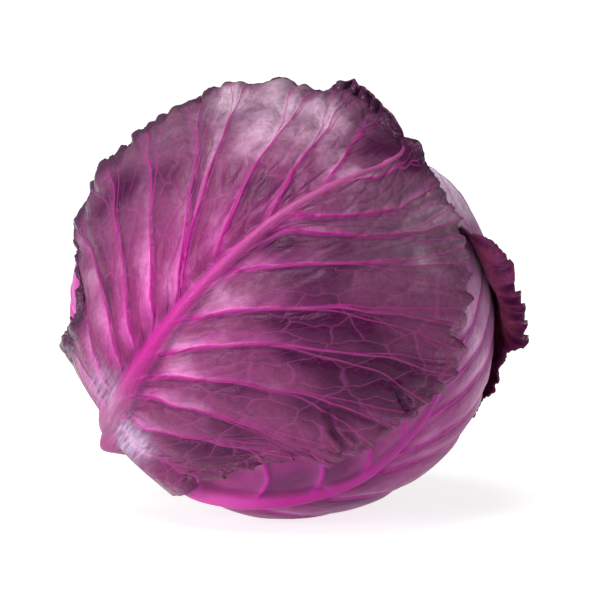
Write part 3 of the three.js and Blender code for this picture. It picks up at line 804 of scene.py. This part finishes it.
def leaf_object(leaf, materials, row_count, column_count, puff, dark_edge, forks=(),
                spots=(), blooms_and_sheen=(), slits=(), shade=1.0, seed=1):
    """A fine leaf: an outer face with ribs, veins and puffed panels, an inner face and a rim.

    puff is how full the panels are between the veins. dark_edge says how dark the left and the
    right margin are. forks are the forked veins with a set place, spots paler and darker
    patches, in part painted highlight and shade, blooms patches of wax with a painted sheen,
    slits tears, and shade the painted contrast across each panel.
    """
    rows = paced_rows(leaf, row_count)
    shares, few_shares = paced_shares(column_count)
    row, t = leaf_grid(rows, shares)
    reach = np.abs(t)
    inner, flat, turned = inner_face(leaf, row, t)
    across_mm = row_width(flat, rows, shares)
    vein, nearest, main, phase, up, down = vein_field(leaf, row, t, flat, across_mm, forks, seed)
    from_spine, along = nearest_on(leaf.spine, flat)
    from_rib = from_spine * drawn_in(flat) / rib_half_width(leaf, along)
    ribbed = np.cos(np.pi / 2 * np.clip(from_rib, 0, 1)) ** 2
    ends = off_the_ends(leaf, row)
    lit = lit_side(t, phase)

    # relief: veins stand up, panels puff between them, and creases and tears cut in
    free = freedom(LEAVES.index(leaf), direction_at(leaf, flat))
    puffed = puffs(nearest, from_rib, reach) * mix(0.7, puff, free)
    raised = np.maximum(vein * mix(1, 0.45, ease(0.15, 0.6, reach)), puffed) * ends
    crease, beside = creases(t, main, from_rib, along, lit)
    torn, lips = tears(slits, flat)
    blade = BLADE + RELIEF * raised * (1 - ribbed) - CREASE_DEPTH * (crease + 0.6 * beside) * ends
    blade = mix(blade, TORN_BLADE, torn) + LIP_HEIGHT * lips
    rib = rib_height(leaf, along) * ribbed
    outer = inner + grid_normals(inner) * blade[..., None] + unit(inner - CENTRE) * rib[..., None]

    # each panel is paler on its lit side, less so far out and near the tip
    shaded = 0.45 * (lit - 0.45) * ease(0.03, 0.2, reach) * mix(1, 0.35, ease(0.4, 0.9, reach))
    shaded = shade * shaded * mix(1, 0.4, ease(0.45, 0.75, along))

    row_in, t_in = leaf_grid(rows, few_shares)
    inside, flat_in, turned_in = inner_face(leaf, row_in, t_in)
    _, along_in = nearest_on(leaf.spine, flat_in)
    none = np.zeros_like(t_in)
    fields = {
        "vein": (vein * ends, none),
        "phase": (phase, none),
        "up": (up, none),
        "down": (down, none),
        "across": (across_mm, none),
        "reach": (reach, np.abs(t_in)),
        # glow: a painted highlight on each vein's lit side
        "vein_highlight": (painted_vein_highlight(main, nearest, reach, along, lit) * ends, none),
        "rib": (ribbed, none),
        # crease: painted shade in the creases and tears
        "crease": (np.maximum(np.maximum(crease, 0.5 * beside) * ends, torn), none),
        # magenta: partly the blade's own colour, partly a painted glow of light through it
        "magenta": (warmth(row, t, from_spine, along), none),
        "along": (along, along_in),
        "margin": (margin_mm(leaf, row, t), margin_mm(leaf, row_in, t_in)),
        # edge: the dark margin, and painted shade over what is turned back
        "edge": (darkened(leaf, row, t, turned, dark_edge, seed),
                 darkened(leaf, row_in, t_in, turned_in, dark_edge, seed)),
        # bloom: wax with a painted sheen on it
        "bloom": (toned(flat, blooms_and_sheen) - 0.5, none),
        # tone: paler and darker spots, in part painted highlight and shade, and each panel's painted
        # light
        "tone": (np.clip(toned(flat, spots) + shaded, 0, 1), toned(flat_in, spots)),
    }
    # the ruled map has rows as far apart as shares are long, so a net on it follows the veins
    ruled = [np.stack([ROW_ON_MAP * r, VEIN_ON_MAP * x], -1) for r, x in ((row, t), (row_in, t_in))]
    maps = {"flat": (flat, flat_in), "ruled": ruled}
    faces, slots = leaf_faces(row_count, len(shares), len(few_shares))
    obj = mesh_object(
        leaf.name + "_fine",
        np.vstack([trim(outer, 0).reshape(-1, 3), trim(inside, PRESSED).reshape(-1, 3)]),
        faces, materials, slots,
        {key: np.concatenate([part.ravel() for part in parts]) for key, parts in fields.items()},
        {key: np.vstack([part.reshape(-1, 2) for part in parts]) for key, parts in maps.items()},
    )
    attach(obj, "root")
    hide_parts(leaf.name)
    return obj


# ---- materials ----
SMOOTH = {"interpolation_type": "SMOOTHSTEP"}
TIMES = {"operation": "MULTIPLY"}
TIMES_PLUS = {"operation": "MULTIPLY_ADD"}
LARGER = {"operation": "MAXIMUM"}
COLOURS = {"data_type": "RGBA"}         # a Mix node's factor and colours are inputs 0, 6 and 7
WAX_AND_SHEEN = "#d8cbec"


def colour(code):
    """An sRGB hex colour as linear RGBA."""
    parts = [int(code[k:k + 2], 16) / 255 for k in (1, 3, 5)]
    linear = [c / 12.92 if c <= 0.04045 else ((c + 0.055) / 1.055) ** 2.4 for c in parts]
    return (*linear, 1.0)


def per_metre(size_mm):
    """A texture's scale, for a pattern whose cells are that many millimetres across."""
    return 1 / (size_mm * MM)


def add(tree, kind, inputs=(), output=None, **settings):
    """Adds a shader node with its settings, sets or links its inputs, and returns an output.

    inputs is a list for the first sockets, or a dictionary by socket name or number. The output
    is the one named, or the first in use.
    """
    node = tree.nodes.new("ShaderNode" + kind)
    for key, value in settings.items():
        setattr(node, key, value)
    for key, value in inputs.items() if isinstance(inputs, dict) else enumerate(inputs):
        if isinstance(value, bpy.types.NodeSocket):
            tree.links.new(value, node.inputs[key])
        else:
            node.inputs[key].default_value = value
    if output:
        return node.outputs[output]
    return next(socket for socket in node.outputs if socket.enabled)


def new_material(name, base, roughness):
    """A material of one colour and roughness, with its node tree and shader. Plant tissue has
    the IOR of the water in it, and its wax lowers the specular level. The floor shines by its
    own light, so it has the same."""
    material = bpy.data.materials.new(name)
    material.use_nodes = True
    shader = material.node_tree.nodes["Principled BSDF"]
    shader.inputs["Base Color"].default_value = colour(base)
    shader.inputs["Roughness"].default_value = roughness
    shader.inputs["IOR"].default_value = 1.33
    shader.inputs["Specular IOR Level"].default_value = 0.25
    return material, material.node_tree, shader


def vein_lines(node, field):
    """How much of a vein there is, 0 to 1: lines that thin towards the margin, drawn where the
    mesh's fields say how many mm away a side vein and its two forks are."""
    reach = field["reach"]
    from_main = node("Math", [field["phase"], 0.5], operation="PINGPONG")
    from_main = node("Math", [from_main, field["across"]], **TIMES)
    lines = []
    for distance, near_mm, far_mm in ((from_main, 0.85, 0.4), (field["up"], 0.6, 0.36),
                                      (field["down"], 0.6, 0.36)):
        width = node("MapRange", [reach, 0.1, 1.0, near_mm, far_mm], **SMOOTH)
        distance = node("Math", [distance], operation="ABSOLUTE")
        share = node("Math", [distance, width], operation="DIVIDE")
        lines.append(node("MapRange", [share, 0.4, 1.1, 1.0, 0.0], **SMOOTH))
    main, up, down = lines

    # drawn lines take over from the mesh's own a little way out from the midrib
    drawn = node("Math", [field["phase"], 0.5], operation="GREATER_THAN")
    drawn = node("Math", [drawn, node("MapRange", [reach, 0.1, 0.15], **SMOOTH)], **TIMES)
    at_root = node("MapRange", [reach, 0.1, 0.15, 1.0, 0.0], **SMOOTH)
    at_root = node("Math", [field["vein"], at_root], **TIMES)
    forks = node("Math", [node("Math", [up, down], **LARGER), 0.7], **TIMES)
    forks = node("Math", [forks, node("MapRange", [reach, 0.3, 0.4], **SMOOTH)], **TIMES)
    veins = node("Math", [node("Math", [main, forks], **LARGER), drawn], **TIMES)
    return node("Math", [veins, at_root], **LARGER)


def net_cells(node, flat, sizes_mm):
    """For each size, the distance to the edge of the cells between small veins of that size.
    The cells are half as long again along the veins, and a soft noise bends their edges."""
    wander = node("TexNoise", {"Vector": flat, "Scale": per_metre(9.1)}, output="Color")
    wander = node("VectorMath", [wander, (0.5, 0.5, 0.5)], operation="SUBTRACT")
    ruled = node("UVMap", uv_map="ruled")
    bent = node("VectorMath", [wander, (6 * MM, 6 * MM, 0), ruled], **TIMES_PLUS)
    stretched = node("VectorMath", [bent, (1.5, 1.0, 1.0)], **TIMES)
    return [node("TexVoronoi", {"Vector": stretched, "Scale": per_metre(size_mm)},
                 feature="DISTANCE_TO_EDGE", voronoi_dimensions="2D") for size_mm in sizes_mm]


def leaf_material(name, tones, net=0.5, gloss=0.33, crinkle=0.4):
    """A leaf's waxy face, with its veins, its net of small veins, its wax and its dark margin.

    tones holds hex colours: dark, middle and pale panels and the same three warm_ ones where
    the leaf is magenta; vein, and vein_far towards the margin and where it is dark; glow, a
    painted highlight on the blade beside a vein; net, the small veins; rib, and rib_base and
    rib_tip at its two ends; crease, painted shade in creases and tears; bloom, the wax with a
    painted sheen on it; and margin, which also paints shade over what is turned back. net is how
    strong the small veins are, gloss the mean
    roughness and crinkle how wrinkled the blade is near its margin.
    """
    material, tree, shader = new_material(name, tones["dark"], gloss)
    node = partial(add, tree)
    field = {key: node("Attribute", output="Fac", attribute_name=key) for key in (
        "vein", "phase", "up", "down", "across", "reach", "vein_highlight", "rib", "crease", "magenta",
        "along", "margin", "edge", "bloom", "tone")}
    flat = node("UVMap", uv_map="flat")
    reach, along = field["reach"], field["along"]

    # shares of each thing drawn: small veins, veins, midrib, streaks of wax with a painted sheen
    # and the margin
    cells, small_cells = net_cells(node, flat, (13.9, 4.76))
    line = node("MapRange", [cells, 0.0, 0.05, 1.0, 0.0], **SMOOTH)
    line = node("Math", [line, node("MapRange", [reach, 0.2, 0.45], **SMOOTH)], **TIMES)
    small_line = node("MapRange", [small_cells, 0.0, 0.08, 1.0, 0.0], **SMOOTH)
    veins = vein_lines(node, field)
    patches = node("TexNoise", {"Vector": flat, "Scale": per_metre(22.2), "Detail": 4.0})
    uneven = node("Math", [patches, 0.5], operation="SUBTRACT")
    tone = node("Math", [uneven, 0.7, field["tone"]], **TIMES_PLUS)
    grain = node("TexNoise", {"Vector": flat, "Scale": per_metre(2.38), "Detail": 2.0})
    grain = node("MapRange", [grain, 0.35, 0.75, 0.0, 0.25], **SMOOTH)
    dim_far = node("MapRange", [reach, 0.3, 0.9, 0.0, 0.6], **SMOOTH)
    dim_dark = node("MapRange", [tone, 0.05, 0.45, 0.75, 0.0], **SMOOTH)
    rib = node("Math", [node("MapRange", [field["rib"], 0.0, 0.6, 0.0, 0.92], **SMOOTH),
                        node("MapRange", [along, 0.8, 0.96, 1.0, 0.2], **SMOOTH)], **TIMES)
    lengthwise = node("VectorMath", [flat, (0.12, 1.0, 1.0)], **TIMES)
    streaks = node("TexNoise", {"Vector": lengthwise, "Scale": per_metre(1.43), "Detail": 3.0})
    band = node("Math", [uneven, 0.5, field["edge"]], **TIMES_PLUS)
    band = node("MapRange", [band, 0.15, 0.75], **SMOOTH)
    band_most = node("Math", [field["edge"], 6.0], **TIMES)
    band_most = node("Math", [band_most, 0.95], operation="MINIMUM")

    # panels from dark to pale, plain and magenta, and then each layer over the last. The tone
    # that picks dark or pale carries painted light and shade, and magenta in part a painted glow.
    panels = []
    for warm in ("", "warm_"):
        panel = colour(tones[warm + "dark"])
        for low, high, key in ((0.0, 0.5, "middle"), (0.5, 1.0, "pale")):
            share = node("MapRange", [tone, low, high], **SMOOTH)
            panel = node("Mix", {0: share, 6: panel, 7: colour(tones[warm + key])}, **COLOURS)
        panels.append(panel)
    body = node("Mix", {0: field["magenta"], 6: panels[0], 7: panels[1]}, **COLOURS)
    for key, value, factor in (
        ("dark", grain, 1.0),
        ("vein_far", small_line, 0.14 * net),
        ("vein_far", line, 0.3 * net),
        ("net", line, node("Math", [field["magenta"], 0.5 * net], **TIMES)),
        # glow is a painted highlight on each vein's lit side
        ("vein_highlight", field["vein_highlight"], 0.6),
        ("vein", veins, node("MapRange", [reach, 0.1, 1.0, 0.9, 0.5], **SMOOTH)),
        ("vein_far", veins, node("Math", [dim_far, dim_dark], **LARGER)),
        # crease is painted shade in the creases and tears
        ("crease", field["crease"], 0.8),
        ("rib", rib, 1.0),
        ("rib_base", rib, node("MapRange", [along, 0.2, 0.46, 0.9, 0.0], **SMOOTH)),
        ("rib_tip", rib, node("MapRange", [along, 0.35, 0.7, 0.0, 0.85], **SMOOTH)),
        # bloom is the wax with a painted sheen on it
        ("bloom", field["bloom"], node("MapRange", [streaks, 0.25, 0.75, 0.2, 1.0], **SMOOTH)),
        ("margin", band, band_most),
    ):
        share = node("Math", [value, factor], **TIMES)
        body = node("Mix", {0: share, 6: body, 7: colour(tones[key])}, **COLOURS)
    tree.links.new(body, shader.inputs["Base Color"])

    # the wax is uneven, and rubbed to a shine near the margin
    near_margin = node("MapRange", [field["margin"], 4.0, 26.0, 1.0, 0.1], **SMOOTH)
    rough = node("TexNoise", {"Vector": flat, "Scale": per_metre(5.26), "Detail": 3.0})
    rough = node("Math", [rough, 0.28, gloss - 0.04], **TIMES_PLUS)
    rough = node("Math", [near_margin, -0.2, rough], **TIMES_PLUS)
    tree.links.new(rough, shader.inputs["Roughness"])

    # fine relief: quilted cells off the midrib, streaks, small veins and a wrinkled margin
    quilt = node("Math", [node("MapRange", [cells, 0.0, 0.3], **SMOOTH),
                          node("MapRange", [field["rib"], 0.0, 0.3, 1.0, 0.0], **SMOOTH)], **TIMES)
    bloomed = node("Math", [field["bloom"], 0.15], **TIMES)
    wrinkles = node("TexNoise", {"Vector": flat, "Scale": per_metre(4.35), "Detail": 4.0})
    height = 0.0
    for value, factor in (
        (quilt, 0.7 * net),
        (streaks, node("Math", [rib, 0.3, bloomed], **TIMES_PLUS)),
        (small_line, -0.12 * net),
        (wrinkles, node("Math", [near_margin, crinkle], **TIMES)),
    ):
        height = node("Math", [value, factor, height], **TIMES_PLUS)
    relief = node("Bump", {"Height": height, "Strength": 1.0, "Distance": 1.2 * MM})
    tree.links.new(relief, shader.inputs["Normal"])
    return material


def front_leaf():
    """The outermost leaf's face, grown in full light under a thin wax: dark aubergine panels, paled
    by a painted soft grey sheen, and crossed by veins of a hard magenta."""
    return leaf_material("cabbage_leaf_outer_painted_sheen", {
        "dark": "#34082a", "middle": "#5c3a50", "pale": "#b49cac",
        "warm_dark": "#400a34", "warm_middle": "#780e56", "warm_pale": "#b84c9c",
        "vein": "#8a0068", "vein_far": "#86306c", "vein_highlight": "#c44aa2", "net": "#9a4a88",
        "rib": "#a00c78", "rib_base": "#844068", "rib_tip": "#8c4a74",
        "crease": "#42083a", "bloom": WAX_AND_SHEEN, "margin": "#42203a"}, net=0.6, crinkle=1.0)


def flared_leaf():
    """The back leaf's face under a heavy wax: greyish mauve, and near white where it is pale,
    which is a painted highlight; its veins hardly stand out."""
    return leaf_material("cabbage_leaf_back_wax_painted_highlight", {
        "dark": "#50203f", "middle": "#7f4c74", "pale": "#d2c4d0",
        "warm_dark": "#50203f", "warm_middle": "#8a4078", "warm_pale": "#b070a4",
        "vein": "#a05094", "vein_far": "#a86a9c", "vein_highlight": "#b490b0", "net": "#a86a9c",
        "rib": "#a52a7c", "rib_base": "#86446e", "rib_tip": "#c8b0c4",
        "crease": "#8a4a7c", "bloom": WAX_AND_SHEEN, "margin": "#4c2036"}, net=0.4)


def under_leaf():
    """The under leaf's face, grown smooth in the shade: even mauve, and a broad magenta rib."""
    return leaf_material("cabbage_leaf_grown_smooth", {
        "dark": "#5c2450", "middle": "#823e72", "pale": "#c49abb",
        "warm_dark": "#5a1a4c", "warm_middle": "#8a2468", "warm_pale": "#c878b4",
        "vein": "#a00884", "vein_far": "#a00884", "vein_highlight": "#b04a9a", "net": "#a04a90",
        "rib": "#9c1a78", "rib_base": "#c050a0", "rib_tip": "#963080",
        "crease": "#600c4c", "bloom": WAX_AND_SHEEN, "margin": "#4a2038"}, net=0.15, crinkle=0.2)


def left_leaf():
    """The left leaf's face, grown thin: clear magenta, partly its own and partly a painted glow
    of light through the blade, with paler veins.
    """
    return leaf_material("cabbage_leaf_thin_painted_glow", {
        **dict.fromkeys(("vein", "vein_far", "net"), "#c45aaa"),
        **dict.fromkeys(("rib", "rib_base", "rib_tip"), "#b43094"),
        "dark": "#7c2868", "middle": "#a03484", "pale": "#c44a9c",
        "warm_dark": "#8c2870", "warm_middle": "#a83488", "warm_pale": "#c44a9c",
        "vein_highlight": "#c44a9c", "crease": "#902478", "bloom": WAX_AND_SHEEN, "margin": "#803068"},
        net=0.2, crinkle=0.2)


def inner_face_crimson():
    """A leaf's inner face, grown without wax against the next leaf: dull crimson, seen where a
    margin turns out."""
    return leaf_material("cabbage_leaf_inner_face", {
        **dict.fromkeys(("vein", "vein_far", "vein_highlight", "net", "rib", "rib_base", "rib_tip"),
                        "#8a2a60"),
        "dark": "#521640", "middle": "#8a405e", "pale": "#a85c80",
        "warm_dark": "#521640", "warm_middle": "#8a405e", "warm_pale": "#a04c78",
        "crease": "#4a0e34", "bloom": WAX_AND_SHEEN, "margin": "#5c1c48"}, net=0.3, crinkle=0.6)


def mottled(name, base, patch, share, roughness, patch_mm, bump):
    """A material of one colour with soft patches of another, and a bump that follows them.
    Returns the material, its node adder and shader, its coordinates and its colour."""
    material, tree, shader = new_material(name, base, roughness)
    node = partial(add, tree)
    place = node("TexCoord", output="Object")
    noise = node("TexNoise", {"Vector": place, "Scale": per_metre(patch_mm), "Detail": 4.0})
    amount = node("MapRange", [noise, 0.4, 0.75, 0.0, share])
    body = node("Mix", {0: amount, 6: colour(base), 7: colour(patch)}, **COLOURS)
    tree.links.new(body, shader.inputs["Base Color"])
    relief = node("Bump", {"Height": noise, "Strength": bump, "Distance": MM})
    tree.links.new(relief, shader.inputs["Normal"])
    return material, node, shader, place, body


def heart_leaves():
    """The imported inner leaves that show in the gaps: waxy mauve with darker patches."""
    return mottled("cabbage_heart_packed_leaf", "#8a4c78", "#5c2450", 0.8, 0.45, 11.1, 0.4)[0]


def cut_stalk():
    """The knife-cut stalk: pale dry pith with browner spots, inside a thin mauve skin. How far
    a point is from the stalk's axis is the length of its cross product with the axis."""
    material, node, shader, place, pith = mottled(
        "cabbage_stalk_knife_cut", "#d8cbb4", "#a58f6c", 0.7, 0.7, 3.85, 0.5)
    away = node("VectorMath", [place, CENTRE * MM], operation="SUBTRACT")
    crossed = node("VectorMath", [away, CROWN], operation="CROSS_PRODUCT")
    from_axis = node("VectorMath", [crossed], output="Value", operation="LENGTH")
    skin_starts, skin_whole = (STALK_RADIUS - 2.9) * MM, (STALK_RADIUS - 0.6) * MM
    skin = node("MapRange", [from_axis, skin_starts, skin_whole, 0.0, 0.85])
    body = node("Mix", {0: skin, 6: pith, 7: colour("#96608a")}, **COLOURS)
    material.node_tree.links.new(body, shader.inputs["Base Color"])
    return material


# ---- the leaves, each with what it alone has ----
FRONT_FORKS = [
    (-1, 6, 0.42, 6.6), (-1, 8, 0.5, 7.6), (-1, 9, 0.45, 8.5), (-1, 4, 0.5, 3.5),
    (1, 2, 0.4, 2.6), (1, 3, 0.35, 2.7), (1, 5, 0.35, 4.5), (1, 6, 0.4, 5.5), (1, 7, 0.5, 6.5),
    (1, 8, 0.4, 7.5), (1, 9, 0.35, 8.5),
]
FRONT_SPOTS_WITH_PAINTED_LIGHT = [
    # pale: a painted highlight on the top of the left half and beside the tip, and paler beside
    # the midrib
    (57, -76, 26, 0.17), (74, -56, 20, 0.15), (44, -50, 15, 0.11), (62, -96, 12, 0.2),
    (85, -46, 11, 0.15), (72, -30, 12, 0.2), (54, -13, 9, 0.2),
    (61, 24, 24, 0.1), (24, 40, 14, 0.05),
    (-28, -38, 18, 0.15), (-12, -22, 8, 0.15), (-44, -17, 12, 0.2),
    # dark: single panels of the left half
    (-34, -71, 10, -0.2), (-46, -58, 9, -0.25), (-31, 9, 9, -0.2), (8, -66, 9, -0.25),
    (24, -46, 8, -0.4), (31, -32, 8, -0.4), (9, -79, 9, -0.15), (19, -26, 7, -0.25),
    (-7, -87, 14, -0.35), (-21, -96, 14, -0.25),
    # dark: the tip's fold
    (77, -14, 10, -0.4), (88, -2, 11, -0.6), (98, 4, 10, -0.4), (93, -27, 12, -0.2),
    (101, -12, 10, -0.3),
    # dark, as painted shade: the right half, most of it past the middle of each panel
    (-45, 9, 12, -0.2), (14, -14, 9, -0.55), (30, 4, 11, -0.35), (-78, 20, 16, -0.35),
    (-58, 34, 16, -0.3), (-4, 10, 15, -0.5), (6, 22, 14, -0.5), (2, 36, 16, -0.35),
    (8, 59, 18, -0.4), (-18, 43, 15, -0.3), (32, 50, 12, -0.1), (43, 28, 9, -0.1),
]
# patches of wax at the midrib's base, with a painted sheen
FRONT_BLOOMS_AND_SHEEN = [(-104, -12, 9, 0.7), (-95, -6, 8, 0.5), (-113, -15, 7, 0.45), (-88, -36, 11, 0.4)]
FRONT_SLITS = [
    [(-20, 42), (-25, 50), (-27, 60)],
    [(4, 58), (0, 66)],
    [(-62, 40), (-64, 44)],
    [(-70, 33), (-69, 36)],
]
# painted light on the under leaf's paler right, and painted shadow along the strip under the front
# leaf's margin
UNDER_PAINTED_LIGHT_AND_SHADOW = [
    (40, 30, 36, 0.35), (-52, -27, 13, -0.4), (-72, -33, 12, -0.3), (-40, -20, 9, -0.3),
    (-53, 0, 16, -0.4),
]
# a painted highlight towards the back leaf's tip
FLARED_PAINTED_HIGHLIGHT = [(105, 10, 50, 0.5)]

inner_face_material = inner_face_crimson()
leaf_object(FRONT_LEAF, [front_leaf(), inner_face_material], 560, 70, 1.5,
            (1, 0.25), FRONT_FORKS, FRONT_SPOTS_WITH_PAINTED_LIGHT, FRONT_BLOOMS_AND_SHEEN, FRONT_SLITS, seed=4)
leaf_object(FLARED_LEAF, [flared_leaf(), inner_face_material], 420, 60, 0.7,
            (1, 0.6), spots=FLARED_PAINTED_HIGHLIGHT, shade=0.4, seed=5)
leaf_object(UNDER_LEAF, [under_leaf(), inner_face_material], 400, 60, 1.2,
            (0.3, 0.3), spots=UNDER_PAINTED_LIGHT_AND_SHADOW, seed=6)
leaf_object(LEFT_LEAF, [left_leaf(), inner_face_material], 300, 44, 0.7,
            (0.5, 0.5), shade=0.3, seed=7)

for node_name, node_material in (("heart", heart_leaves()), ("cut_stalk", cut_stalk())):
    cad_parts[node_name].data.materials.clear()
    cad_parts[node_name].data.materials.append(node_material)


# ---- floor, light and camera, in metres ----
FLOOR_HALF = 6
SHADOW_TO = 0.07                    # the floor shines less within this radius,
LIT_FROM = 0.34                     # and fully past this one
WORLD_LIGHT = 0.16
LOOKED_AT = Vector((0.002, -0.004, 0.084))
CAMERA_DISTANCE = 2.5
CAMERA_LENS = 389.8
SENSOR_WIDTH = 36


def studio_floor():
    """A wide sheet of white acrylic, cast smooth and lit from beneath: it shines evenly, and a
    little less under the head, which paints a soft pale shadow there."""
    mesh = bpy.data.meshes.new("floor")
    corners = [(-1, -1), (1, -1), (1, 1), (-1, 1)]
    mesh.from_pydata([(x * FLOOR_HALF, y * FLOOR_HALF, 0) for x, y in corners], [], [(0, 1, 2, 3)])
    material, tree, shader = new_material("acrylic_sheet_backlit_painted_shadow", "#b9b6b8", 0.3)
    place = add(tree, "TexCoord", output="Object")
    from_middle = add(tree, "VectorMath", [place], output="Value", operation="LENGTH")
    # the shine dips under the head: a painted shadow
    shine = add(tree, "MapRange", [from_middle, SHADOW_TO, LIT_FROM, 0.76, 1.0], **SMOOTH)
    tree.links.new(shine, shader.inputs["Emission Strength"])
    shader.inputs["Emission Color"].default_value = (1, 1, 1, 1)
    mesh.materials.append(material)
    obj = bpy.data.objects.new("floor", mesh)
    bpy.context.scene.collection.objects.link(obj)


def softbox(name, place, aim, size, power):
    """A square area light at a place, turned to aim at a point."""
    light = bpy.data.lights.new(name, "AREA")
    light.size = size
    light.energy = power
    obj = bpy.data.objects.new(name, light)
    obj.location = place
    obj.rotation_euler = (Vector(aim) - Vector(place)).to_track_quat("-Z", "Y").to_euler()
    bpy.context.scene.collection.objects.link(obj)


def studio_camera():
    """A long lens that looks straight at the front leaf, along the way it faces."""
    data = bpy.data.cameras.new("camera")
    data.sensor_fit = "HORIZONTAL"
    data.sensor_width = SENSOR_WIDTH
    data.lens = CAMERA_LENS
    data.clip_end = 50
    obj = bpy.data.objects.new("camera", data)
    bpy.context.scene.collection.objects.link(obj)
    back = Vector(FACING)
    obj.location = LOOKED_AT + back * CAMERA_DISTANCE
    obj.rotation_euler = (-back).to_track_quat("-Z", "Y").to_euler()
    bpy.context.scene.camera = obj


studio_floor()
world = bpy.data.worlds.new("studio")
world.use_nodes = True
background = world.node_tree.nodes["Background"]
background.inputs["Color"].default_value = (1, 1, 1, 1)
background.inputs["Strength"].default_value = WORLD_LIGHT
bpy.context.scene.world = world
softbox("softbox_above", (-0.2, -0.3, 0.95), (0, 0, 0.09), 0.6, 12)
softbox("softbox_right", (0.85, -0.1, 0.55), (0, 0, 0.09), 0.5, 1.5)
softbox("softbox_left", (-0.8, -0.7, 0.3), (0, 0, 0.06), 0.5, 11)
studio_camera()
bpy.context.scene.view_settings.view_transform = "Standard"
